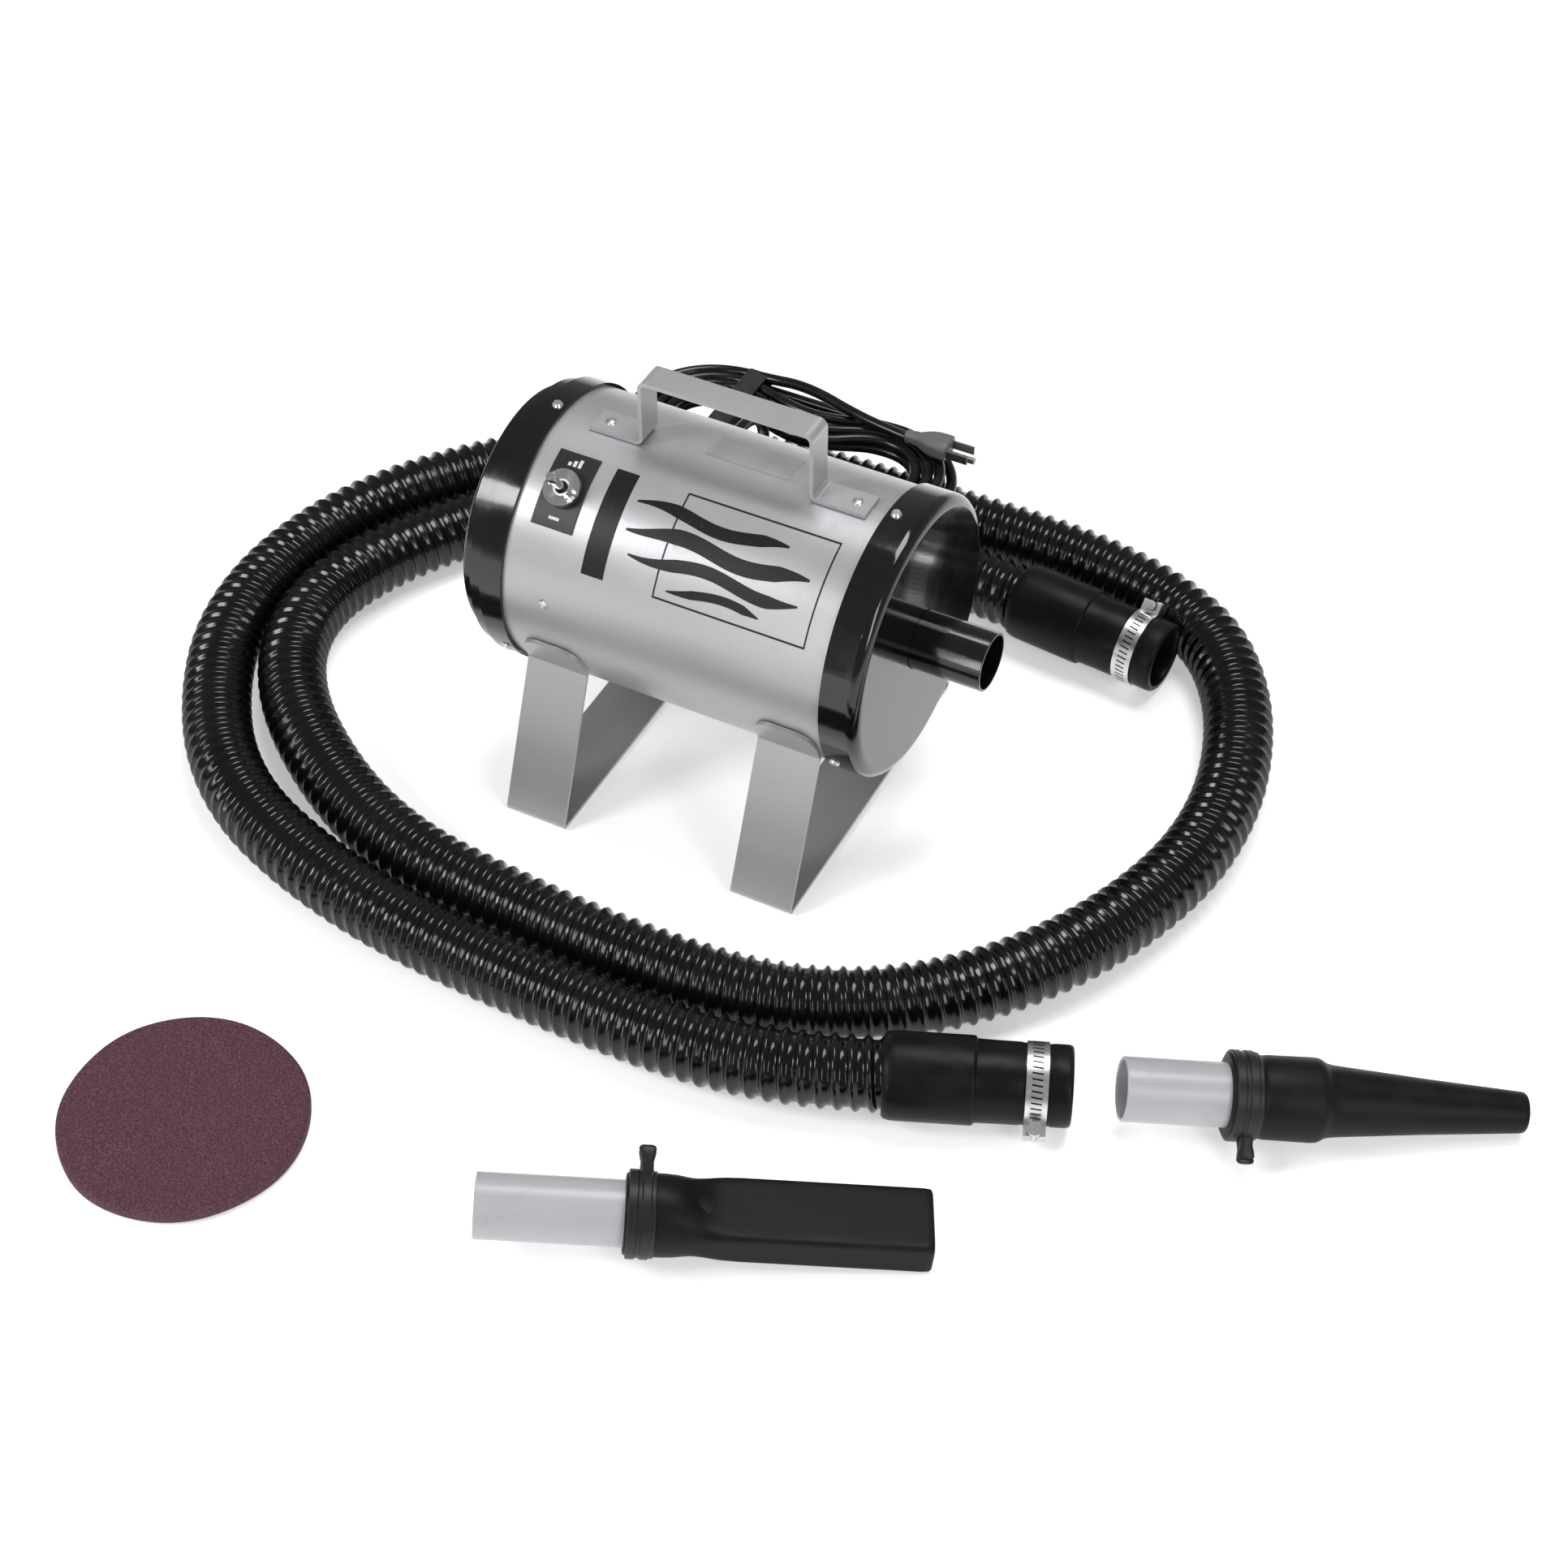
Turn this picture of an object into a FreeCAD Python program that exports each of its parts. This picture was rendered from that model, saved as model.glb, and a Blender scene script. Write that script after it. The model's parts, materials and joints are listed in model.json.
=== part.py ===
import FreeCAD, Part
import math
import os
import Sketcher

# A drum-shaped pet dryer on two strap legs, with its air hose, cord, two nozzles and a loose foam filter.
# Millimetres. X runs along the drum towards the air outlet, Y away from the switch side, Z up.
# The origin is on the floor under the middle of the drum.

SIZES = [
    ("drum_radius", 89.0),
    ("drum_half", 122.0),
    ("drum_wall", 1.2),
    ("axle_height", 151.0),
    ("cap_skirt", 2.5),
    ("cap_grip", 12.0),
    ("cap_wall", 2.0),
    ("cap_corner", 7.0),
    ("front_cap_depth", 13.3),
    ("rear_lip", 3.0),
    ("rear_ring_inset", 1.0),
    ("rear_ring_depth", 9.0),
    ("rear_mouth_inset", 7.0),
    ("rear_mouth_depth", 9.0),
    ("intake_inset", 17.0),
    ("tube_radius", 19.0),
    ("tube_wall", 1.6),
    ("tube_length", 47.2),
    ("flange_radius", 32.0),
    ("outlet_hole_gap", 0.6),
    ("screw_head_radius", 3.6),
    ("screw_head_height", 1.8),
    ("screw_shank_radius", 1.7),
    ("screw_shank_length", 7.0),
    ("front_screw_inset", 5.6),
    ("rear_screw_inset", 6.5),
    ("grille_thickness", 1.2),
    ("grille_inset", 1.5),
    ("grille_hole", 5.0),
    ("bulkhead_inset", 60.0),
    ("bulkhead_wall", 2.5),
    ("gasket_height", 4.0),
    ("fan_inset", 19.0),
    ("fan_depth", 46.0),
    ("fan_wall", 1.5),
    ("fan_eye", 24.0),
    ("motor_radius", 44.0),
    ("motor_length", 76.0),
    ("motor_wall", 2.0),
    ("stator_gap", 1.0),
    ("stator_length", 40.0),
    ("stator_setback", 12.0),
    ("coil_depth", 7.5),
    ("coil_angle", 110.0),
    ("armature_radius", 23.6),
    ("slot_radius", 1.2),
    ("commutator_radius", 12.0),
    ("commutator_length", 16.0),
    ("brush_gap", 0.5),
    ("shaft_radius", 4.0),
    ("bearing_radius", 11.0),
    ("bearing_width", 7.0),
    ("bearing_gap", 0.05),
    ("bearing_setback", 3.0),
    ("shaft_setback", 6.0),
    ("impeller_gap", 3.5),
    ("impeller_depth", 16.0),
    ("blade_depth", 12.8),
    ("hub_radius", 8.8),
    ("running_gap", 0.4),
    ("plate_inset", 24.7),
    ("plate_length", 28.5),
    ("plate_span", 32.0),
    ("plate_thickness", 1.0),
    ("switch_angle", 55.0),
    ("switch_nut_radius", 12.0),
    ("switch_nut_height", 4.5),
    ("nut_gap", 0.9),
    ("switch_bore", 5.5),
    ("switch_box_length", 24.0),
    ("switch_box_width", 18.0),
    ("switch_box_depth", 20.0),
    ("switch_box_gap", 1.8),
    ("lever_radius", 2.6),
    ("lever_length", 21.0),
    ("lever_tip_radius", 3.6),
    ("lever_seat", 2.0),
    ("hub_ball_radius", 3.3),
    ("pivot_rise", 2.0),
    ("pivot_radius", 0.8),
    ("pivot_length", 9.6),
    ("strap_thickness", 2.5),
    ("leg_width", 42.5),
    ("leg_half_span", 120.0),
    ("front_leg_inset", 37.5),
    ("rear_leg_inset", 43.0),
    ("leg_bend_angle", 31.0),
    ("leg_tab_angle", 15.0),
    ("leg_corner", 14.0),
    ("handle_width", 19.5),
    ("handle_height", 48.7),
    ("handle_rear_inset", 68.5),
    ("handle_front_inset", 57.0),
    ("handle_foot", 36.0),
    ("handle_bend", 4.5),
    ("handle_rivet_reach", 25.2),
    ("drum_rivet_inset", 41.4),
    ("drum_rivet_angle", 7.0),
    ("rivet_radius", 3.4),
    ("rivet_height", 1.6),
    ("gland_place", 60.0),
    ("gland_radius", 9.0),
    ("gland_length", 34.0),
    ("cord_radius", 4.0),
    ("hank_left", 200.0),
    ("hank_right", 44.0),
    ("hank_near", 172.0),
    ("hank_far", 297.0),
    ("hank_floor", 48.2),
    ("hank_height", 16.2),
    ("tie_width", 16.0),
    ("tie_wall", 1.4),
    ("tie_gap", 0.1),
    ("plug_length", 34.0),
    ("plug_width", 20.0),
    ("plug_height", 14.0),
    ("blade_length", 16.0),
    ("hose_radius", 23.0),
    ("cuff_length", 104.0),
    ("cuff_root_length", 47.0),
    ("cuff_root_wall", 3.5),
    ("cuff_taper", 4.0),
    ("cuff_wall", 5.1),
    ("cuff_fit", 0.2),
    ("cuff_bore_depth", 58.0),
    ("clamp_place", 83.0),
    ("clamp_width", 13.0),
    ("clamp_wall", 1.0),
    ("worm_radius", 3.2),
    ("worm_length", 19.0),
    ("nozzle_tube_wall", 2.0),
    ("nozzle_grip", 24.0),
    ("spigot_step", 0.8),
    ("nozzle_clamp_width", 16.0),
    ("nozzle_clamp_wall", 1.6),
    ("nozzle_clamp_setback", 1.5),
    ("ear_length", 16.0),
    ("ear_width", 12.0),
    ("ear_thickness", 7.0),
    ("rubber_wall", 3.2),
    ("cone_tube_length", 61.0),
    ("cone_body_wall", 6.0),
    ("cone_body_length", 56.0),
    ("cone_step", 3.7),
    ("cone_shoulder", 3.0),
    ("cone_length", 122.0),
    ("cone_tip_radius", 12.0),
    ("flat_tube_length", 84.0),
    ("flat_body_wall", 4.6),
    ("flat_neck_length", 40.0),
    ("flat_change", 14.0),
    ("flat_length", 134.0),
    ("flat_width", 44.5),
    ("flat_height", 23.0),
    ("foam_inset", 14.0),
    ("foam_thickness", 10.0),
]

doc = FreeCAD.newDocument("PetDryer")
sheet = doc.addObject("Spreadsheet::Sheet", "Sizes")


class Dim:
    """A size that carries its number and the sheet expression that gives it."""

    def __init__(self, text, number):
        self.text = text
        self.number = float(number)

    def __add__(self, other):
        other = dim(other)
        return Dim(f"({self.text} + {other.text})", self.number + other.number)

    def __sub__(self, other):
        other = dim(other)
        return Dim(f"({self.text} - {other.text})", self.number - other.number)

    def __rsub__(self, other):
        return dim(other) - self

    def __mul__(self, other):
        other = dim(other)
        return Dim(f"({self.text} * {other.text})", self.number * other.number)

    def __truediv__(self, other):
        other = dim(other)
        return Dim(f"({self.text} / {other.text})", self.number / other.number)

    def __neg__(self):
        return dim(0) - self

    __radd__ = __add__
    __rmul__ = __mul__


def dim(value):
    if isinstance(value, Dim):
        return value
    return Dim(str(value), value)


def cosine(angle):
    return Dim(f"cos({angle.text} * 1deg)", math.cos(math.radians(angle.number)))


def sine(angle):
    return Dim(f"sin({angle.text} * 1deg)", math.sin(math.radians(angle.number)))


class Table:
    """The driving sizes, each reached by its own name."""


def fill_sheet():
    table = Table()
    for row, (name, value) in enumerate(SIZES, start=1):
        sheet.set(f"A{row}", name)
        sheet.set(f"B{row}", str(value))
        sheet.setAlias(f"B{row}", name)
        setattr(table, name, Dim(f"Sizes.{name}", value))
    doc.recompute()
    return table


def add_followers(table):
    """Sizes that follow from the driving ones."""
    table.cap_radius = table.drum_radius + table.cap_skirt
    table.cap_skirt_start = table.drum_half - table.cap_grip
    table.front_face = table.drum_half + table.front_cap_depth
    table.tube_end = table.front_face + table.tube_length
    table.rear_step = table.drum_half + table.rear_lip
    table.rear_ring_end = table.rear_step + table.rear_ring_depth
    table.rear_face = table.rear_ring_end + table.rear_mouth_depth
    table.rear_ring_radius = table.drum_radius - table.rear_ring_inset
    table.rear_mouth_radius = table.drum_radius - table.rear_mouth_inset
    table.intake_radius = table.drum_radius - table.intake_inset
    table.front_screw_place = table.cap_skirt_start + table.front_screw_inset
    table.rear_screw_place = table.cap_skirt_start + table.rear_screw_inset
    table.grille_place = table.drum_half - table.grille_inset
    table.bulkhead_place = table.drum_half - table.bulkhead_inset
    table.fan_radius = table.drum_radius - table.fan_inset
    table.impeller_radius = table.fan_radius - table.fan_wall - table.impeller_gap
    table.stator_bore = table.armature_radius + table.stator_gap
    table.plate_start = table.drum_half - table.plate_inset
    table.plate_end = table.plate_start - table.plate_length
    table.front_leg_place = table.drum_half - table.front_leg_inset
    table.rear_leg_place = table.drum_half - table.rear_leg_inset
    table.cuff_bore = table.tube_radius + table.cuff_fit
    table.cuff_end_radius = table.cuff_bore + table.cuff_wall
    table.cuff_root_radius = table.hose_radius + table.cuff_root_wall
    table.cone_body_radius = table.tube_radius + table.cone_body_wall
    table.cone_root_radius = table.cone_body_radius - table.cone_step
    table.flat_body_radius = table.tube_radius + table.flat_body_wall
    table.foam_radius = table.drum_radius - table.foam_inset


V = FreeCAD.Vector
D = fill_sheet()
add_followers(D)
pieces = []

# How each loose thing lies: where it starts, its heading and how far its clamp's ears are rolled.
CONE_SPOT = (352.9, -182.5)
CONE_HEADING = 27.7
CONE_EAR_ROLL = 115.0
FLAT_SPOT = (61.8, -422.4)
FLAT_HEADING = 27.0
FLAT_EAR_ROLL = -50.0
FOAM_SPOT = (-137.0, -427.0)

# Where the hose and the cord run.
HOSE_ROUTE = [
    (131, 193.5, 26.5), (84.5, 198.5, 25.6), (35, 203.5, 23.8), (-15, 205, 23), (-65, 202.5, 23),
    (-115, 194, 23), (-163, 177, 23), (-206, 149, 23), (-240, 115, 23), (-268, 76, 23), (-293, 32, 23),
    (-307, -19, 23), (-297, -70, 23), (-267, -114, 23), (-223, -151, 23), (-169, -183, 23),
    (-113, -201, 23), (-55, -207, 23), (5, -211, 23), (65, -210.5, 23), (119, -206, 23), (167, -192, 23),
    (210, -167, 23), (247, -132, 23), (279, -88, 23), (304, -36, 23), (319, 20, 23), (320, 75, 23),
    (309, 127, 23), (289, 175, 23), (257, 217, 23), (212, 241, 23), (160, 253, 23), (106, 256, 23),
    (52, 254.5, 23), (-2, 254, 23), (-56, 252, 23), (-110, 245, 23), (-162, 230, 23), (-209, 207, 23),
    (-251, 176, 23), (-289, 137, 23), (-322, 90, 23), (-344, 36, 23), (-351.5, -22, 23),
    (-343, -79, 23), (-317, -131, 23), (-281, -178, 23), (-236, -212, 23), (-183, -233, 23),
    (-127, -247, 23), (-70, -254.5, 23), (-12, -257.5, 23), (46, -259, 23), (103, -258, 23.6),
    (148, -252, 24.8), (191, -240.2, 25.9), (228, -225, 26.5),
]
LEAD_ROUTE = [
    (-60, 123, 151), (-60, 138.1, 151), (-60.7, 155.1, 144), (-62, 168, 131.1), (-63.5, 174.6, 114.1),
    (-65, 175, 85.9), (-71.4, 175.2, 70.5), (-83.2, 175.4, 58.7), (-98.7, 175.8, 52.6), (-118, 176, 52.3),
    (-138, 176.2, 52.3),
]
TAIL_ROUTE = [
    (-118, 293, 62.6), (-98, 291.5, 66.6), (-76, 286.8, 68.6), (-52, 279, 69), (-26, 272.4, 69.4),
    (0, 268.5, 69.8),
]


# ---- how pieces are made ----


def new_body(label):
    body = doc.addObject("PartDesign::Body", label)
    body.Label = label
    pieces.append(body)
    return body


def origin_feature(body, role):
    for feature in body.Origin.OriginFeatures:
        if feature.Role == role:
            return feature
    raise ValueError(role)


def bind(target, prop, value):
    value = dim(value)
    target.setExpression(prop, value.text)


def hold(sketch, kind, index, value):
    """Hold corner number index at a signed distance from the sketch's origin."""
    value = dim(value)
    if value.text == "0":
        axis = -2 if kind == "DistanceX" else -1
        sketch.addConstraint(Sketcher.Constraint("PointOnObject", index, 1, axis))
        return
    row = sketch.addConstraint(Sketcher.Constraint(kind, -1, 1, index, 1, value.number))
    sketch.setExpression(f"Constraints[{row}]", value.text)


def outline(body, role, corners):
    """A closed outline of straight sides through corners, each corner held by the sheet."""
    sketch = body.newObject("Sketcher::SketchObject", f"{body.Label}_outline")
    sketch.AttachmentSupport = (origin_feature(body, role), [""])
    sketch.MapMode = "FlatFace"
    spots = [V(dim(a).number, dim(b).number, 0) for a, b in corners]
    count = len(spots)
    for index in range(count):
        sketch.addGeometry(Part.LineSegment(spots[index], spots[(index + 1) % count]), False)
    for index in range(count):
        sketch.addConstraint(Sketcher.Constraint("Coincident", index, 2, (index + 1) % count, 1))
    for index, (across, up) in enumerate(corners):
        hold(sketch, "DistanceX", index, across)
        hold(sketch, "DistanceY", index, up)
    return sketch


def spun(body, corners, angle=360.0):
    """Spin an outline of (along, radius) corners about the body's X axis, halfway to each side."""
    sketch = outline(body, "XZ_Plane", corners)
    turn = body.newObject("PartDesign::Revolution", f"{body.Label}_turn")
    turn.Profile = sketch
    turn.ReferenceAxis = (sketch, ["H_Axis"])
    angle = dim(angle)
    turn.Angle = angle.number
    if angle.number < 360:
        turn.Midplane = True
        bind(turn, "Angle", angle)
    body.Tip = turn
    return turn


def padded(body, role, corners, length):
    """Pad an outline by length, half to each side of its plane."""
    sketch = outline(body, role, corners)
    pad = body.newObject("PartDesign::Pad", f"{body.Label}_pad")
    pad.Profile = sketch
    pad.SideType = "Symmetric"
    bind(pad, "Length", length)
    body.Tip = pad
    return pad


def rounded(body, kind, size, wanted):
    """Fillet or chamfer every edge of the body that wanted() picks."""
    doc.recompute()
    base = body.Tip
    names = []
    for number, edge in enumerate(base.Shape.Edges, start=1):
        if wanted(edge):
            names.append(f"Edge{number}")
    feature = body.newObject(f"PartDesign::{kind}", f"{body.Label}_{kind.lower()}")
    feature.Base = (base, names)
    bind(feature, "Radius" if kind == "Fillet" else "Size", size)
    body.Tip = feature
    return feature


def ring_edge(x, radius):
    """Picks the circular edge at that place along X and of that radius."""

    def wanted(edge):
        if not hasattr(edge.Curve, "Radius"):
            return False
        middle = edge.Curve.Center
        return abs(middle.x - x.number) < 0.05 and abs(edge.Curve.Radius - radius.number) < 0.05

    return wanted


def round_hole(body, name, radius, centre):
    """A round hole through the body, along X, with its middle at a height."""
    sketch = body.newObject("Sketcher::SketchObject", f"{name}_outline")
    sketch.AttachmentSupport = (origin_feature(body, "YZ_Plane"), [""])
    sketch.MapMode = "FlatFace"
    sketch.addGeometry(Part.Circle(V(0, centre.number, 0), V(0, 0, 1), radius.number), False)
    sketch.addConstraint(Sketcher.Constraint("PointOnObject", 0, 3, -2))
    row = sketch.addConstraint(Sketcher.Constraint("DistanceY", -1, 1, 0, 3, centre.number))
    sketch.setExpression(f"Constraints[{row}]", centre.text)
    row = sketch.addConstraint(Sketcher.Constraint("Radius", 0, radius.number))
    sketch.setExpression(f"Constraints[{row}]", radius.text)
    pocket = body.newObject("PartDesign::Pocket", name)
    pocket.Profile = sketch
    pocket.Type = "ThroughAll"
    pocket.SideType = "Symmetric"
    body.Tip = pocket
    return pocket


def holes(body, name, radius, centre, count):
    """A ring of count round holes through the body, along X."""
    pocket = round_hole(body, name, radius, centre)
    pattern = body.newObject("PartDesign::PolarPattern", f"{name}_ring")
    pattern.Originals = [pocket]
    pattern.Axis = (origin_feature(body, "X_Axis"), [""])
    pattern.Angle = 360
    pattern.Occurrences = count
    body.Tip = pattern
    return pattern


def place(target, x, y, z, turn=None):
    """Put the piece at a point, turned by turn, an App rotation."""
    target.Placement = FreeCAD.Placement(
        V(dim(x).number, dim(y).number, dim(z).number), turn or FreeCAD.Rotation()
    )
    for axis, value in zip("xyz", (x, y, z)):
        bind(target, f"Placement.Base.{axis}", value)


def at_drum_axis(target, x=0, roll=0.0):
    """Put the piece on the drum's axis at x, rolled about it by so many degrees from the front side up."""
    place(target, x, 0, D.axle_height, FreeCAD.Rotation(V(1, 0, 0), roll))


def block(label, length, width, height):
    """A box centred on its own place in length and width and standing on it."""
    box = doc.addObject("Part::Box", label)
    box.Label = label
    bind(box, "Length", length)
    bind(box, "Width", width)
    bind(box, "Height", height)
    return box


def rod(label, radius, height):
    bar = doc.addObject("Part::Cylinder", label)
    bar.Label = label
    bind(bar, "Radius", radius)
    bind(bar, "Height", height)
    return bar


def cut(label, base, tools):
    """Base with each tool taken out of it; the last cut carries the label and the piece."""
    for number, tool in enumerate(tools):
        last = number == len(tools) - 1
        step = doc.addObject("Part::Cut", label if last else f"{label}_cut_{number + 1}")
        step.Base = base
        step.Tool = tool
        base = step
    base.Label = label
    pieces.append(base)
    return base


# ---- drum, caps and outlet ----


def shell_blank():
    body = doc.addObject("PartDesign::Body", "shell_blank")
    inner = D.drum_radius - D.drum_wall
    spun(
        body,
        [
            (-D.drum_half, inner),
            (-D.drum_half, D.drum_radius),
            (D.drum_half, D.drum_radius),
            (D.drum_half, inner),
        ],
    )
    at_drum_axis(body)
    return body


def front_cap():
    """A cup over the end of the drum, with a hole for the outlet tube."""
    body = new_body("front_cap")
    inside_face = D.front_face - D.cap_wall
    hole = D.tube_radius + D.outlet_hole_gap
    spun(
        body,
        [
            (D.cap_skirt_start, D.drum_radius),
            (D.cap_skirt_start, D.cap_radius),
            (D.front_face, D.cap_radius),
            (D.front_face, hole),
            (inside_face, hole),
            (inside_face, D.cap_radius - D.cap_wall),
            (D.drum_half, D.cap_radius - D.cap_wall),
            (D.drum_half, D.drum_radius),
        ],
    )
    rounded(body, "Fillet", D.cap_corner, ring_edge(D.front_face, D.cap_radius))
    at_drum_axis(body)


def outlet_tube():
    """A short tube with a flange behind the front cap's face."""
    body = new_body("outlet_tube")
    bore = D.tube_radius - D.tube_wall
    flange_front = D.front_face - D.cap_wall
    flange_back = flange_front - D.tube_wall
    spun(
        body,
        [
            (flange_back, bore),
            (flange_back, D.flange_radius),
            (flange_front, D.flange_radius),
            (flange_front, D.tube_radius),
            (D.tube_end, D.tube_radius),
            (D.tube_end, bore),
        ],
    )
    rounded(body, "Chamfer", D.tube_wall / 4, ring_edge(D.tube_end, D.tube_radius))
    at_drum_axis(body)


def rear_cap():
    """A stepped ring over the other end of the drum, open for the air intake."""
    body = new_body("rear_cap")
    lip = D.cap_wall
    spun(
        body,
        [
            (-D.cap_skirt_start, D.drum_radius),
            (-D.cap_skirt_start, D.cap_radius),
            (-D.rear_step, D.cap_radius),
            (-D.rear_step, D.rear_ring_radius),
            (-D.rear_ring_end, D.rear_ring_radius),
            (-D.rear_ring_end, D.rear_mouth_radius),
            (-D.rear_face, D.rear_mouth_radius),
            (-D.rear_face, D.intake_radius),
            (lip - D.rear_face, D.intake_radius),
            (lip - D.rear_face, D.rear_mouth_radius - lip),
            (-D.drum_half, D.rear_mouth_radius - lip),
            (-D.drum_half, D.drum_radius),
        ],
    )
    rounded(body, "Fillet", D.cap_wall, ring_edge(-D.rear_face, D.rear_mouth_radius))
    at_drum_axis(body)


def intake_grille():
    """A round plate across the intake with three rings of holes."""
    body = new_body("intake_grille")
    half = D.grille_thickness / 2
    rim = D.drum_radius - D.drum_wall
    spun(body, [(-half, 0), (-half, rim), (half, rim), (half, 0)])
    for number, count in enumerate((6, 12, 18, 24, 30), start=1):
        holes(body, f"grille_holes_{number}", D.grille_hole, D.grille_hole * (2.5 * number), count)
    at_drum_axis(body, -D.grille_place)


def cap_screws():
    """Three pan-head screws through each cap's skirt, one of them at the top."""
    seat = D.cap_radius
    for end, place_x in (("front", D.front_screw_place), ("rear", -D.rear_screw_place)):
        for number in range(3):
            body = new_body(f"{end}_cap_screw_{number + 1}")
            spun(
                body,
                [
                    (-D.screw_shank_length, 0),
                    (-D.screw_shank_length, D.screw_shank_radius),
                    (0, D.screw_shank_radius),
                    (0, D.screw_head_radius),
                    (D.screw_head_height, D.screw_head_radius * 0.7),
                    (D.screw_head_height, 0),
                ],
            )
            angle = math.radians(90 + 120 * number)
            across = seat * math.cos(angle)
            upward = D.axle_height + seat * math.sin(angle)
            turn = FreeCAD.Rotation(V(1, 0, 0), V(0, math.cos(angle), math.sin(angle)))
            place(body, place_x, across, upward, turn)


# ---- motor and fan inside the drum ----


def bulkhead_and_gasket():
    plate = new_body("motor_bulkhead")
    back = D.bulkhead_place
    front = back + D.bulkhead_wall
    rim = D.drum_radius - D.drum_wall
    spun(plate, [(back, D.fan_eye), (back, rim), (front, rim), (front, D.fan_eye)])
    at_drum_axis(plate)
    seal = new_body("motor_gasket")
    start = back - D.gasket_height
    spun(seal, [(start, D.fan_eye), (start, D.fan_radius), (back, D.fan_radius), (back, D.fan_eye)])
    at_drum_axis(seal)


def fan_housing():
    """A closed drum round the impeller, with an eye in front and a bearing seat behind."""
    body = new_body("fan_housing")
    front = D.bulkhead_place - D.gasket_height
    back = front - D.fan_depth
    wall = D.fan_wall
    spun(
        body,
        [
            (back, D.bearing_radius),
            (back, D.fan_radius),
            (front, D.fan_radius),
            (front, D.fan_eye),
            (front - wall, D.fan_eye),
            (front - wall, D.fan_radius - wall),
            (back + wall, D.fan_radius - wall),
            (back + wall, D.bearing_radius),
        ],
    )
    at_drum_axis(body)
    return back


def motor_can(front):
    body = new_body("motor_can")
    back = front - D.motor_length
    inside = D.motor_radius - D.motor_wall
    spun(
        body,
        [
            (back, D.bearing_radius),
            (back, D.motor_radius),
            (front, D.motor_radius),
            (front, inside),
            (back + D.motor_wall, inside),
            (back + D.motor_wall, D.bearing_radius),
        ],
    )
    at_drum_axis(body)
    return back


def bearing(label, start):
    body = new_body(label)
    bore = D.shaft_radius + D.bearing_gap
    end = start + D.bearing_width
    spun(body, [(start, bore), (start, D.bearing_radius), (end, D.bearing_radius), (end, bore)])
    at_drum_axis(body)


def stator_and_coils(front):
    core = new_body("stator_core")
    end = front - D.stator_setback
    start = end - D.stator_length
    rim = D.motor_radius - D.motor_wall
    spun(core, [(start, D.stator_bore), (start, rim), (end, rim), (end, D.stator_bore)])
    at_drum_axis(core)
    inner = D.stator_bore + D.motor_wall
    outer = rim - D.motor_wall
    for number in range(2):
        coil = new_body(f"field_coil_{number + 1}")
        coil_end = end + D.coil_depth
        spun(coil, [(end, inner), (end, outer), (coil_end, outer), (coil_end, inner)], D.coil_angle)
        at_drum_axis(coil, 0, 180.0 * number)
    return start, end


def brush_holders(middle):
    """A square tube on each side, from the commutator's skin to the motor's wall."""
    reach = D.motor_radius - D.motor_wall - D.commutator_radius - D.running_gap
    near = D.commutator_radius + D.running_gap
    for number in range(2):
        label = f"brush_holder_{number + 1}"
        box = block(label, D.commutator_length / 2, reach - D.brush_gap, D.commutator_length / 2)
        side = near if number == 0 else -near - reach + D.brush_gap
        quarter = D.commutator_length / 4
        place(box, middle - quarter, side, D.axle_height - quarter)
        pieces.append(box)


def rotor(back, stator_start, stator_end):
    """Shaft, laminated core with slots, commutator and bladed wheel: one turning body."""
    shaft = new_body("rotor_shaft")
    front = D.bulkhead_place - D.gasket_height - D.shaft_setback
    tail = back - D.running_gap
    spun(shaft, [(tail, 0), (tail, D.shaft_radius), (front, D.shaft_radius), (front, 0)])
    at_drum_axis(shaft)
    core = new_body("armature_core")
    radius = D.armature_radius
    spun(
        core,
        [
            (stator_start, D.shaft_radius),
            (stator_start, radius),
            (stator_end, radius),
            (stator_end, D.shaft_radius),
        ],
    )
    holes(core, "armature_slots", D.slot_radius, radius - D.slot_radius * 0.7, 12)
    at_drum_axis(core)
    ring = new_body("commutator")
    end = stator_start - D.running_gap
    start = end - D.commutator_length
    top = D.commutator_radius
    spun(ring, [(start, D.shaft_radius), (start, top), (end, top), (end, D.shaft_radius)])
    at_drum_axis(ring)
    impeller(front)


def impeller(front):
    """A disc with a hub and nine flat blades on its front."""
    body = new_body("impeller")
    disc_back = front - D.impeller_depth - D.fan_wall
    disc_front = disc_back + D.fan_wall
    hub = D.hub_radius
    spun(
        body,
        [
            (disc_back, D.shaft_radius),
            (disc_back, D.impeller_radius),
            (disc_front, D.impeller_radius),
            (disc_front, hub),
            (front - D.fan_wall, hub),
            (front - D.fan_wall, D.shaft_radius),
        ],
    )
    blade_front = disc_front + D.blade_depth
    sketch = outline(
        body,
        "XZ_Plane",
        [
            (disc_back, D.fan_eye),
            (blade_front, D.fan_eye),
            (blade_front, D.impeller_radius - D.fan_wall),
            (disc_back, D.impeller_radius - D.fan_wall),
        ],
    )
    blade = body.newObject("PartDesign::Pad", "impeller_blade")
    blade.Profile = sketch
    blade.SideType = "Symmetric"
    bind(blade, "Length", D.fan_wall)
    ring = body.newObject("PartDesign::PolarPattern", "impeller_blades")
    ring.Originals = [blade]
    ring.Axis = (origin_feature(body, "X_Axis"), [""])
    ring.Angle = 360
    ring.Occurrences = 9
    body.Tip = ring
    at_drum_axis(body)


# ---- switch ----


def switch_roll():
    """How far the switch's own up is rolled from the drum's top towards the front."""
    return 90.0 - D.switch_angle.number


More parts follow.
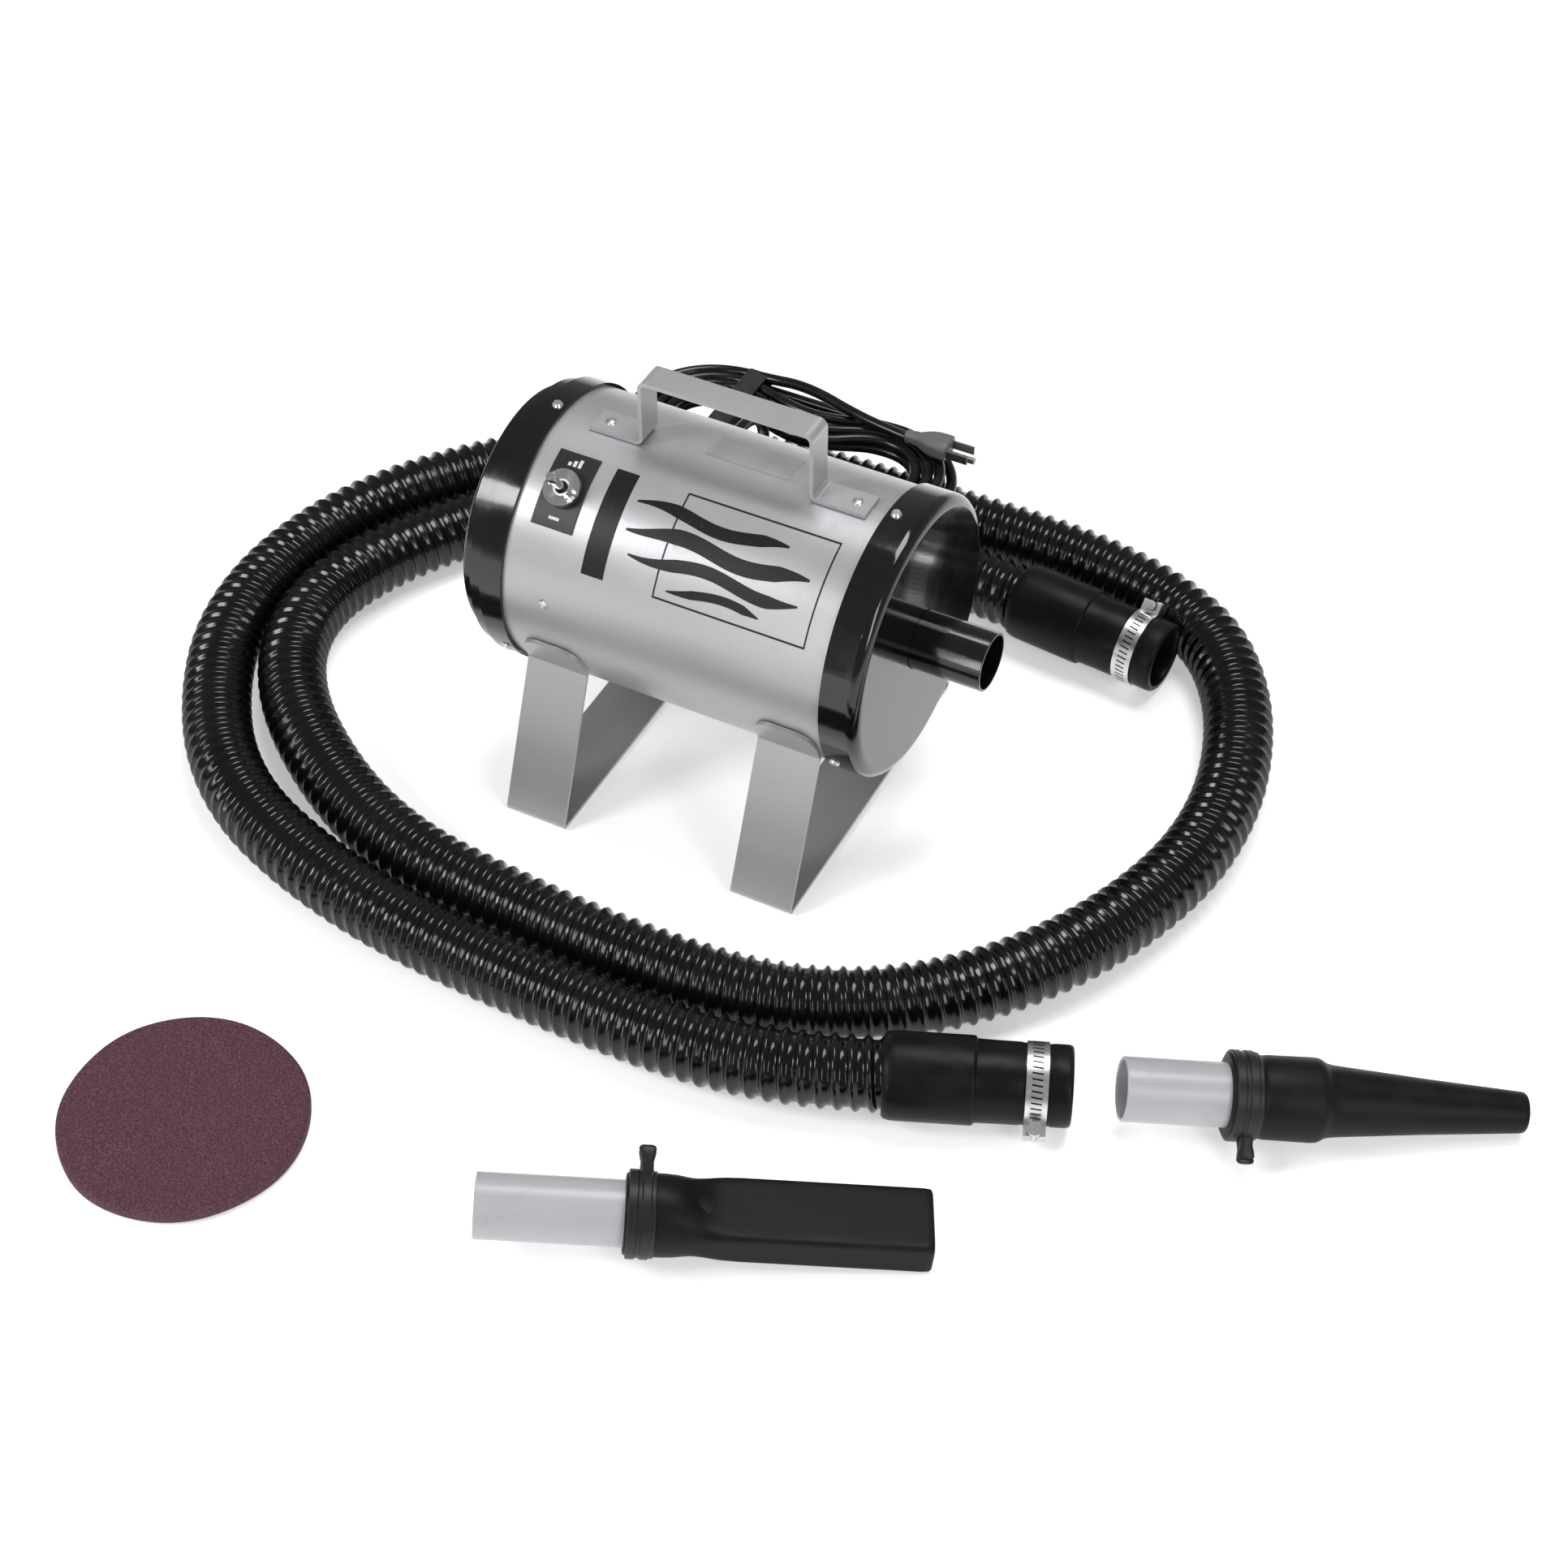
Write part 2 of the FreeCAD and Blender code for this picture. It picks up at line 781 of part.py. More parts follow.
def drilled(label, solid, radius):
    """The piece with a round hole through it where the switch stands."""
    drill = rod(f"{label}_drill", radius, D.drum_radius * 0.4)
    roll = FreeCAD.Rotation(V(1, 0, 0), switch_roll())
    middle = (D.plate_start + D.plate_end) / -2
    depth = D.drum_radius * 0.8
    across = -depth * cosine(D.switch_angle)
    upward = D.axle_height + depth * sine(D.switch_angle)
    place(drill, middle, across, upward, roll)
    return cut(label, solid, [drill])


def switch():
    middle = (D.plate_start + D.plate_end) / -2
    plate = doc.addObject("PartDesign::Body", "switch_plate_blank")
    plate.Label = "switch_plate_blank"
    top = D.drum_radius + D.plate_thickness
    spun(
        plate,
        [
            (-D.plate_start, D.drum_radius),
            (-D.plate_start, top),
            (-D.plate_end, top),
            (-D.plate_end, D.drum_radius),
        ],
        D.plate_span,
    )
    at_drum_axis(plate, 0, switch_roll())
    drilled("switch_plate", plate, D.switch_bore)
    seat = D.drum_radius + D.plate_thickness + D.nut_gap
    nut = new_body("switch_nut")
    padded_ring(nut, D.switch_bore, D.switch_nut_radius, seat, seat + D.switch_nut_height)
    outward(nut, middle)
    box = new_body("switch_body")
    floor = D.drum_radius - D.drum_wall - D.switch_box_gap
    wide = D.switch_box_width / 2
    padded(
        box,
        "XZ_Plane",
        [
            (-D.switch_box_length / 2, floor - D.switch_box_depth),
            (-D.switch_box_length / 2, floor),
            (D.switch_box_length / 2, floor),
            (D.switch_box_length / 2, floor - D.switch_box_depth),
        ],
        wide * 2,
    )
    collar_start = floor - D.plate_thickness / 2
    collar_end = seat + D.switch_nut_height
    padded_ring(box, D.lever_radius * 1.6, D.switch_bore, collar_start, collar_end, "collar")
    outward(box, middle)
    lever = new_body("toggle_lever")
    base = floor + D.lever_seat
    tip = seat + D.switch_nut_height + D.lever_length
    round_start = tip - D.lever_tip_radius * 2
    pivot = D.drum_radius + D.pivot_rise
    sketch = outline(
        lever,
        "XZ_Plane",
        [
            (0, base),
            (D.lever_radius * 0.6, base),
            (D.hub_ball_radius, pivot - D.pivot_radius),
            (D.hub_ball_radius, pivot + D.pivot_radius),
            (D.lever_radius, pivot + D.hub_ball_radius),
            (D.lever_radius, round_start),
            (D.lever_tip_radius, round_start + D.lever_tip_radius * 0.7),
            (D.lever_tip_radius, tip - D.lever_tip_radius * 0.7),
            (D.lever_radius, tip),
            (0, tip),
        ],
    )
    turn = lever.newObject("PartDesign::Revolution", "toggle_lever_turn")
    turn.Profile = sketch
    turn.ReferenceAxis = (sketch, ["V_Axis"])
    turn.Angle = 360
    lever.Tip = turn
    round_hole(lever, "pivot_hole", D.pivot_radius + D.bearing_gap, pivot)
    outward(lever, middle)
    pin = rod("toggle_pin", D.pivot_radius, D.pivot_length)
    roll = FreeCAD.Rotation(V(1, 0, 0), switch_roll()).multiply(FreeCAD.Rotation(V(0, 1, 0), 90))
    across = -pivot * cosine(D.switch_angle)
    upward = D.axle_height + pivot * sine(D.switch_angle)
    place(pin, middle - D.pivot_length / 2, across, upward, roll)
    pieces.append(pin)


def padded_ring(body, inner, outer, start, end, name="ring"):
    """A ring about the body's Z axis from start to end."""
    sketch = outline(body, "XZ_Plane", [(inner, start), (outer, start), (outer, end), (inner, end)])
    sketch.Label = f"{body.Label}_{name}_outline"
    turn = body.newObject("PartDesign::Revolution", f"{body.Label}_{name}")
    turn.Profile = sketch
    turn.ReferenceAxis = (sketch, ["V_Axis"])
    turn.Angle = 360
    body.Tip = turn


def outward(body, middle):
    """Put a body whose Z is a radius from the drum's axis where the switch points."""
    place(body, middle, 0, D.axle_height, FreeCAD.Rotation(V(1, 0, 0), switch_roll()))


# ---- straps: legs and handle ----


def route(points, share=0.45):
    """Straight runs joined by tangent arcs, each as large as its two runs allow."""
    spots = [V(*point) for point in points]
    edges = []
    radii = []
    start = spots[0]
    for before, corner, after in zip(spots, spots[1:], spots[2:]):
        inward = (before - corner).normalize()
        outward_run = (after - corner).normalize()
        half_turn = (math.pi - inward.getAngle(outward_run)) / 2
        run = min((corner - before).Length, (after - corner).Length)
        radius = share * run / math.tan(half_turn)
        first = corner + inward * (share * run)
        last = corner + outward_run * (share * run)
        side = (inward + outward_run).normalize()
        middle = corner + side * (radius / math.cos(half_turn) - radius)
        edges.append(Part.LineSegment(start, first).toShape())
        edges.append(Part.Arc(first, middle, last).toShape())
        radii.append(radius)
        start = last
    edges.append(Part.LineSegment(start, spots[-1]).toShape())
    return Part.Wire(edges), radii


def bend_route(points, radius):
    """A route in which every corner has the same bend radius."""
    spots = [V(*point) for point in points]
    edges = []
    start = spots[0]
    for before, corner, after in zip(spots, spots[1:], spots[2:]):
        inward = (before - corner).normalize()
        outward_run = (after - corner).normalize()
        half_turn = (math.pi - inward.getAngle(outward_run)) / 2
        reach = radius * math.tan(half_turn)
        first = corner + inward * reach
        last = corner + outward_run * reach
        side = (inward + outward_run).normalize()
        middle = corner + side * (radius / math.cos(half_turn) - radius)
        edges.append(Part.LineSegment(start, first).toShape())
        edges.append(Part.Arc(first, middle, last).toShape())
        start = last
    edges.append(Part.LineSegment(start, spots[-1]).toShape())
    return Part.Wire(edges)


def strap(points, sideways, width, thickness, radius):
    """A flat strap bent along points, its width along the direction sideways."""
    path = bend_route(points, radius)
    start = V(*points[0])
    along = (V(*points[1]) - start).normalize()
    across = along.cross(sideways).normalize()
    corners = []
    for wide, thick in ((-0.5, -0.5), (0.5, -0.5), (0.5, 0.5), (-0.5, 0.5)):
        corners.append(start + sideways * (wide * width) + across * (thick * thickness))
    profile = Part.makePolygon(corners + corners[:1])
    return path.makePipeShell([profile], True, False)


def solid_piece(label, shape):
    piece = doc.addObject("Part::Feature", label)
    piece.Label = label
    piece.Shape = shape
    pieces.append(piece)
    return piece


def leg(label, middle):
    """A strap that runs across the floor, up both sides and along the drum in rounded tabs."""
    thick = D.strap_thickness.number
    half = D.leg_half_span.number
    drum = D.drum_radius.number
    axle = D.axle_height.number
    tab_middle = math.radians((D.leg_bend_angle.number + D.leg_tab_angle.number) / 2)
    tab_half = math.radians((D.leg_bend_angle.number - D.leg_tab_angle.number) / 2)
    reach = (drum + thick / 2) / math.cos(tab_half)
    side = []
    for angle in (tab_middle - tab_half, tab_middle + tab_half):
        side.append((0, -reach * math.cos(angle), axle - reach * math.sin(angle)))
    side.append((0, -half + thick / 2, thick / 2))
    mirrored = [(x, -y, z) for x, y, z in reversed(side)]
    shape = strap(side + mirrored, V(1, 0, 0), D.leg_width.number, thick, thick)
    tips = []
    for edge in shape.Edges:
        spot = edge.CenterOfMass
        short = edge.Length < thick * 1.1
        high = spot.z > side[0][2] - thick
        outermost = abs(abs(spot.x) - D.leg_width.number / 2) < 0.01
        if short and high and outermost:
            tips.append(edge)
    shape = shape.makeFillet(D.leg_corner.number, tips)
    piece = solid_piece(label, shape)
    place(piece, middle, 0, 0)


def handle():
    """A strap on two posts with feet turned outward on the drum's top, each held by a rivet."""
    thick = D.strap_thickness
    foot_height = D.axle_height.number + D.drum_radius.number + thick.number / 2
    top = foot_height + D.handle_height.number - thick.number
    rear = (D.handle_rear_inset - D.drum_half + thick / 2).number
    front = (D.drum_half - D.handle_front_inset - thick / 2).number
    foot = D.handle_foot.number
    points = [
        (rear - foot, 0, foot_height),
        (rear, 0, foot_height),
        (rear, 0, top),
        (front, 0, top),
        (front, 0, foot_height),
        (front + foot, 0, foot_height),
    ]
    shape = strap(points, V(0, 1, 0), D.handle_width.number, thick.number, D.handle_bend.number)
    solid_piece("handle_strap", shape)
    seat = D.axle_height + D.drum_radius + thick
    rear_rivet = D.handle_rear_inset - D.drum_half - D.handle_rivet_reach
    front_rivet = D.drum_half - D.handle_front_inset + D.handle_rivet_reach
    for number, spot in enumerate((rear_rivet, front_rivet), start=1):
        body = new_body(f"handle_rivet_{number}")
        rivet(body, thick + D.drum_wall * 2)
        place(body, spot, 0, seat, FreeCAD.Rotation(V(1, 0, 0), V(0, 0, 1)))
    side = new_body("drum_rivet")
    rivet(side, D.drum_wall * 2)
    angle = math.radians(D.drum_rivet_angle.number)
    radial = FreeCAD.Rotation(V(1, 0, 0), V(0, -math.cos(angle), math.sin(angle)))
    drum = D.drum_radius
    across = -drum * math.cos(angle)
    upward = D.axle_height + drum * math.sin(angle)
    place(side, D.drum_rivet_inset - D.drum_half, across, upward, radial)


def rivet(body, grip):
    """A low round head at x from 0 up and a shank below it."""
    spun(
        body,
        [
            (-grip, 0),
            (-grip, D.screw_shank_radius),
            (0, D.screw_shank_radius),
            (0, D.rivet_radius),
            (D.rivet_height * 0.6, D.rivet_radius * 0.85),
            (D.rivet_height, D.rivet_radius * 0.4),
            (D.rivet_height, 0),
        ],
    )


# ---- cord, hank and plug ----


def tube(label, points, radius):
    """A round solid along a route; prints how tight its bends are."""
    path, radii = route(points)
    start = V(*points[0])
    heading = V(*points[1]) - start
    circle = Part.Wire([Part.makeCircle(radius, start, heading)])
    shape = path.makePipeShell([circle], True, False)
    expected = math.pi * radius * radius * path.Length
    print(
        f"{label}: length {path.Length:.0f}, bends {min(radii):.0f} to {max(radii):.0f},"
        f" volume {shape.Volume / expected:.3f} of section times length"
    )
    return solid_piece(label, shape)


def cord():
    gland = new_body("cord_gland")
    lip = D.drum_wall
    tip = D.gland_length
    spun(
        gland,
        [
            (-lip, 0),
            (-lip, D.gland_radius + lip * 2),
            (lip * 2, D.gland_radius + lip * 2),
            (lip * 2, D.gland_radius),
            (tip, D.cord_radius + lip),
            (tip, 0),
        ],
    )
    place(gland, -D.gland_place, D.drum_radius, D.axle_height, FreeCAD.Rotation(V(0, 0, 1), 90))
    tube("power_cord", LEAD_ROUTE, D.cord_radius.number)
    tube("cord_tail", TAIL_ROUTE, D.cord_radius.number)
    hank()
    plug()


def hank():
    """The wound cord's outer shape: a flat oblong with round ends, and the strap that ties it."""
    length = D.hank_left + D.hank_right
    width = D.hank_far - D.hank_near
    middle = (D.hank_far + D.hank_near) / 2
    bar = block("hank_middle", length - width, width, D.hank_height)
    place(bar, -D.hank_left + width / 2, D.hank_near, D.hank_floor)
    ends = []
    for name, spot in (("left", -D.hank_left + width / 2), ("right", D.hank_right - width / 2)):
        end = rod(f"hank_{name}", width / 2, D.hank_height)
        place(end, spot, middle, D.hank_floor)
        ends.append(end)
    whole = doc.addObject("Part::MultiFuse", "cord_hank")
    whole.Label = "cord_hank"
    whole.Shapes = [bar] + ends
    whole.Refine = True
    pieces.append(whole)
    tie(middle, width)


def tie(middle, width):
    gap = D.tie_gap
    start = -D.hank_left + width / 2
    skin = (D.tie_wall + gap) * 2
    outer = block("tie_outer", D.tie_width, width + skin, D.hank_height + skin)
    inner = block("tie_inner", D.tie_width * 2, width + gap * 2, D.hank_height + gap * 2)
    place(outer, start, D.hank_near - gap - D.tie_wall, D.hank_floor - gap - D.tie_wall)
    place(inner, start - D.tie_width / 2, D.hank_near - gap, D.hank_floor - gap)
    cut("cord_tie", outer, [inner])


def plug():
    """A small three-pin plug lying on the hank where the cord's tail ends."""
    end_x, end_y, end_z = TAIL_ROUTE[-1]
    seat = D.hank_floor + D.hank_height + D.tie_gap * 2
    face = end_x + D.plug_length
    body = block("plug_body", D.plug_length, D.plug_width, D.plug_height)
    place(body, end_x, end_y - D.plug_width / 2, seat)
    pieces.append(body)
    for number, side in ((1, -0.355), (2, 0.28)):
        blade = block(f"plug_blade_{number}", D.blade_length, D.plug_width * 0.075, D.plug_height * 0.45)
        place(blade, face, end_y + D.plug_width * side, end_z - 2.0)
        pieces.append(blade)
    pin = rod("plug_ground_pin", D.plug_height / 6, D.blade_length * 1.2)
    place(pin, face, end_y, end_z - 2.6, FreeCAD.Rotation(V(0, 1, 0), 90))
    pieces.append(pin)


# ---- hose, cuffs and clamps ----


def hose():
    tube("air_hose", HOSE_ROUTE, D.hose_radius.number)
    ends = (("a", HOSE_ROUTE[0], HOSE_ROUTE[1], -45.0), ("b", HOSE_ROUTE[-1], HOSE_ROUTE[-2], 115.0))
    for letter, end, before, roll in ends:
        heading = math.degrees(math.atan2(end[1] - before[1], end[0] - before[0]))
        cuff(letter, end, heading)
        clamp(letter, end, heading, roll)


def at_cuff(target, end, heading, roll=0.0):
    """Put the piece at a cuff's root: its X along the cuff, its Z rolled about that from the top."""
    turn = FreeCAD.Rotation(V(0, 0, 1), heading).multiply(FreeCAD.Rotation(V(1, 0, 0), roll))
    place(target, end[0], end[1], end[2], turn)


def cuff(letter, end, heading):
    """A rubber sleeve, wide at the hose and narrower towards its open mouth."""
    body = new_body(f"hose_cuff_{letter}")
    floor = D.cuff_length - D.cuff_bore_depth
    spun(
        body,
        [
            (0, 0),
            (0, D.cuff_root_radius),
            (D.cuff_root_length, D.cuff_root_radius),
            (D.cuff_root_length + D.cuff_taper, D.cuff_end_radius),
            (D.cuff_length, D.cuff_end_radius),
            (D.cuff_length, D.cuff_bore),
            (floor, D.cuff_bore),
            (floor, 0),
        ],
    )
    rounded(body, "Fillet", D.strap_thickness, ring_edge(D.cuff_length, D.cuff_end_radius))
    at_cuff(body, end, heading)


def clamp(letter, end, heading, roll):
    """A steel band with the housing of its worm screw, and the screw itself."""
    middle = D.clamp_place
    inner = D.cuff_end_radius
    outer = inner + D.clamp_wall
    half = D.clamp_width / 2
    ring = rod(f"clamp_ring_{letter}", outer, D.clamp_width)
    flat = FreeCAD.Rotation(V(0, 1, 0), 90)
    place(ring, middle - half, 0, 0, flat)
    bore = rod(f"clamp_bore_{letter}", inner, D.clamp_width * 2)
    place(bore, middle - half * 2, 0, 0, flat)
    seat = block(f"clamp_seat_{letter}", D.clamp_width, D.worm_length * 0.7, D.worm_radius * 2.6)
    place(seat, middle - half, D.worm_length * -0.35, inner)
    worm_bore = rod(f"clamp_worm_bore_{letter}", D.worm_radius + D.running_gap, D.worm_length * 2)
    height = outer + D.worm_radius * 1.3
    crosswise = FreeCAD.Rotation(V(1, 0, 0), -90)
    place(worm_bore, middle, -D.worm_length, height, crosswise)
    both = doc.addObject("Part::MultiFuse", f"clamp_both_{letter}")
    both.Shapes = [ring, seat]
    band = cut(f"clamp_band_{letter}", both, [bore, worm_bore])
    at_cuff(band, end, heading, roll)
    screw = doc.addObject("Part::MultiFuse", f"clamp_screw_{letter}")
    shank = rod(f"worm_shank_{letter}", D.worm_radius, D.worm_length)
    place(shank, middle, D.worm_length * -0.5, height, crosswise)
    head = rod(f"worm_head_{letter}", D.worm_radius * 1.35, D.worm_radius * 1.2)
    place(head, middle, D.worm_length * 0.5, height, crosswise)
    screw.Shapes = [shank, head]
    screw.Label = f"clamp_screw_{letter}"
    pieces.append(screw)
    at_cuff(screw, end, heading, roll)


# ---- nozzles and foam on the floor ----


def resting(spot, body_end, body_radius, tip_end, tip_radius):
    """Start and droop of a long piece that rests on the end of its thick body and on its tip."""
    droop = math.asin((body_radius - tip_radius) / (tip_end - body_end))
    height = body_radius * math.cos(droop) + body_end * math.sin(droop)
    return (spot[0], spot[1], height + 0.05), math.degrees(droop)


def lie(target, start, heading, droop, roll=0.0):
    """Put a long piece with its X along heading, drooping towards its far end."""
    turn = FreeCAD.Rotation(V(0, 0, 1), heading)
    turn = turn.multiply(FreeCAD.Rotation(V(0, 1, 0), droop))
    turn = turn.multiply(FreeCAD.Rotation(V(1, 0, 0), roll))
    place(target, start[0], start[1], start[2], turn)


def nozzle_tube(label, length, start, heading, droop):
    body = new_body(label)
    outer = D.tube_radius
    end = length + D.nozzle_grip
    inner = outer - D.nozzle_tube_wall
    spigot = outer - D.spigot_step
    spun(
        body,
        [(0, inner), (0, outer), (length, outer), (length, spigot), (end, spigot), (end, inner)],
    )
    lie(body, start, heading, droop)


def nozzle_clamp(label, at, radius, start, heading, droop, roll):
    """A plastic band with two short ears that pinch together."""
    inner = radius
    outer = inner + D.nozzle_clamp_wall
    flat = FreeCAD.Rotation(V(0, 1, 0), 90)
    ring = rod(f"{label}_ring", outer, D.nozzle_clamp_width)
    place(ring, at, 0, 0, flat)
    bore = rod(f"{label}_bore", inner, D.nozzle_clamp_width * 2)
    place(bore, at - D.nozzle_clamp_width / 2, 0, 0, flat)
    ear = block(f"{label}_ear", D.ear_thickness, D.ear_width, D.ear_length)
    place(ear, at + D.nozzle_clamp_width / 2, D.ear_width / -2, inner)
    both = doc.addObject("Part::MultiFuse", f"{label}_both")
    both.Shapes = [ring, ear]
    band = cut(label, both, [bore])
    lie(band, start, heading, droop, roll)


def cone_nozzle():
    root = D.cone_tube_length
    step = root + D.cone_body_length
    tip = step + D.cone_length
    heading = CONE_HEADING
    start, droop = resting(
        CONE_SPOT, step.number, D.cone_body_radius.number, tip.number, D.cone_tip_radius.number
    )
    nozzle_tube("cone_tube", root, start, heading, droop)
    body = new_body("cone_rubber")
    grip = root + D.nozzle_grip
    throat = D.tube_radius - D.nozzle_tube_wall
    seat = D.tube_radius - D.spigot_step
    spun(
        body,
        [
            (root, seat),
            (root, D.cone_body_radius),
            (step, D.cone_body_radius),
            (step + D.cone_shoulder, D.cone_root_radius),
            (tip, D.cone_tip_radius),
            (tip, D.cone_tip_radius - D.rubber_wall),
            (step, throat),
            (grip, throat),
            (grip, seat),
        ],
    )
    rounded(body, "Fillet", D.drum_wall, ring_edge(tip, D.cone_tip_radius))
    lie(body, start, heading, droop)
    clamp_start = root + D.nozzle_clamp_setback
    nozzle_clamp("cone_clamp", clamp_start, D.cone_body_radius, start, heading, droop, CONE_EAR_ROLL)


def flat_nozzle():
    """A round rubber neck that turns into a wide, low rectangular mouth."""
    root = D.flat_tube_length.number
    neck = root + D.flat_neck_length.number
    grip = root + D.nozzle_grip.number
    tip = neck + D.flat_length.number
    wall = D.rubber_wall.number
    radius = D.flat_body_radius.number
    wide = D.flat_width.number
    high = D.flat_height.number
    heading = FLAT_HEADING
    start, droop = resting(FLAT_SPOT, neck, radius, tip, high / 2)
    nozzle_tube("flat_tube", D.flat_tube_length, start, heading, droop)
    outer = loft_to_box(root, neck, tip, radius, wide, high)
    bore = (D.tube_radius - D.spigot_step).number
    throat = (D.tube_radius - D.nozzle_tube_wall).number
    inner = loft_to_box(grip - 1.0, neck, tip + 1.0, throat, wide - wall * 2, high - wall * 2)
    seat = Part.makeCylinder(bore, grip - root + 1.0, V(root - 1.0, 0, 0), V(1, 0, 0))
    piece = solid_piece("flat_rubber", outer.cut(inner).cut(seat))
    lie(piece, start, heading, droop)
    clamp_start = D.flat_tube_length + D.nozzle_clamp_setback
    nozzle_clamp("flat_clamp", clamp_start, D.flat_body_radius, start, heading, droop, FLAT_EAR_ROLL)


def loft_to_box(start, neck, tip, radius, wide, high):
    """A round length from start to neck, then a short change to a box as far as tip."""
    change = D.flat_change.number
    barrel = Part.makeCylinder(radius, neck - start, V(start, 0, 0), V(1, 0, 0))
    circle = Part.Wire([Part.makeCircle(radius, V(neck, 0, 0), V(1, 0, 0))])
    mouth = box_wire(neck + change, wide, high)
    turn = Part.makeLoft([circle, mouth], True, False)
    box = Part.Face(mouth).extrude(V(tip - neck - change, 0, 0))
    return barrel.fuse([turn, box]).removeSplitter()


def box_wire(x, wide, high):
    """A rounded rectangle across X."""
    corner = high * 0.18
    across = wide / 2
    upward = high / 2
    signs = ((-1, -1), (1, -1), (1, 1), (-1, 1), (-1, -1))
    box = Part.makePolygon([V(x, across * a, upward * b) for a, b in signs])
    slab = Part.Face(box).extrude(V(1, 0, 0))
    edges = [edge for edge in slab.Edges if abs(edge.Length - 1.0) < 0.01]
    slab = slab.makeFillet(corner, edges)
    for face in slab.Faces:
        if abs(face.CenterOfMass.x - x) < 0.01:
            return face.OuterWire
    raise ValueError("no end face")


def foam_filter():
    disc = rod("foam_filter", D.foam_radius, D.foam_thickness)
    place(disc, FOAM_SPOT[0], FOAM_SPOT[1], 0)
    pieces.append(disc)


# ---- the whole dryer ----


def build():
    """Make every piece, check it and write it."""
    drilled("housing_shell", shell_blank(), D.switch_bore)
    front_cap()
    outlet_tube()
    rear_cap()
    intake_grille()
    cap_screws()
    bulkhead_and_gasket()
    fan_back = fan_housing()
    motor_back = motor_can(fan_back)
    bearing("front_bearing", fan_back - D.bearing_setback)
    bearing("rear_bearing", motor_back)
    stator_start, stator_end = stator_and_coils(fan_back)
    rotor(motor_back, stator_start, stator_end)
    brush_holders(stator_start - D.running_gap - D.commutator_length / 2)
    switch()
    leg("front_leg", D.front_leg_place)
    leg("rear_leg", -D.rear_leg_place)
    handle()
    cord()
    hose()
    cone_nozzle()
    flat_nozzle()
    foam_filter()
    doc.recompute()


def check():
    for thing in doc.Objects:
        if "Invalid" in thing.State or "Error" in thing.State:
            raise RuntimeError(f"{thing.Label}: {thing.State}")
    for piece in pieces:
        shape = piece.Shape
        if shape.isNull() or not shape.isValid() or len(shape.Solids) != 1:
            raise RuntimeError(f"{piece.Label}: not one valid solid")


def write():
    os.makedirs("parts", exist_ok=True)
    for piece in pieces:
        piece.Shape.exportStep(f"parts/{piece.Label}.step")


build()
check()
write()
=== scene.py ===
import json
import math

import bmesh
import bpy
from mathutils import Matrix, Vector

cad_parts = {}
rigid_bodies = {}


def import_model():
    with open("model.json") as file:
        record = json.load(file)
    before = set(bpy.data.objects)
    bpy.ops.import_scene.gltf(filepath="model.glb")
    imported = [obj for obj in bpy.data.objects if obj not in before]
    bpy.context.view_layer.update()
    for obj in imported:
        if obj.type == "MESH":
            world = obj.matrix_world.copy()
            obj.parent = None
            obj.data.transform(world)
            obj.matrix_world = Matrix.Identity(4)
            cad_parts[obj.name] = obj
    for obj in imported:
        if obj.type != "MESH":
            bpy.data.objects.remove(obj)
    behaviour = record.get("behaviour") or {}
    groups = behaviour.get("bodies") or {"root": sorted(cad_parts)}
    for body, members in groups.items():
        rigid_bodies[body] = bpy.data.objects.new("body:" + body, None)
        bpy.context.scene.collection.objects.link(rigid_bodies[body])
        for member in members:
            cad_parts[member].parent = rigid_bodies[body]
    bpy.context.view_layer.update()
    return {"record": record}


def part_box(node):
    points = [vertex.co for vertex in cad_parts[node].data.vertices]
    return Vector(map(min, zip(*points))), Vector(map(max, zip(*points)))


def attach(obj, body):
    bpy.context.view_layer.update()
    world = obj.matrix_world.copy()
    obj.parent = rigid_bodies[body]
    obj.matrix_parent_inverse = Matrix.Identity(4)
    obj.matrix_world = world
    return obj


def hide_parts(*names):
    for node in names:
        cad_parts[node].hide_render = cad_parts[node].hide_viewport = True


# A drum-shaped pet dryer with its hose, cord, nozzles and foam filter. Metres, in the part's own frame:
# X along the drum towards the outlet, Y away from the switch, Z up from the floor.

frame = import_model()
MM = 0.001


def centre_of(node):
    low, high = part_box(node)
    return (Vector(low) + Vector(high)) / 2


def size_of(node):
    low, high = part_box(node)
    return Vector(high) - Vector(low)


def mount(name):
    for entry in frame["record"]["mounts"]:
        if entry["name"] == name:
            return Vector(entry["pos_m"]), Vector(entry["axis"]).normalized(), entry["dims"]
    raise ValueError(name)


DRUM_AXIS = centre_of("housing_shell")
DRUM_RADIUS = size_of("housing_shell").z / 2
PRINT_GAP = 0.12 * MM

# ---- camera, floor and light ----


def aim(thing, spot):
    thing.rotation_euler = (Vector(spot) - thing.location).to_track_quat("-Z", "Y").to_euler()


def add_camera():
    data = bpy.data.cameras.new("camera")
    data.lens = 68.2
    data.sensor_width = 36.0
    camera = bpy.data.objects.new("camera", data)
    bpy.context.collection.objects.link(camera)
    camera.location = (0.6747, -1.2416, 1.3760)
    aim(camera, (0.04892, -0.01606, 0.0))
    bpy.context.scene.camera = camera


def add_light(name, spot, target, width, depth, power):
    data = bpy.data.lights.new(name, "AREA")
    data.shape = "RECTANGLE"
    data.size = width
    data.size_y = depth
    data.energy = power
    lamp = bpy.data.objects.new(name, data)
    bpy.context.collection.objects.link(lamp)
    lamp.location = spot
    aim(lamp, target)


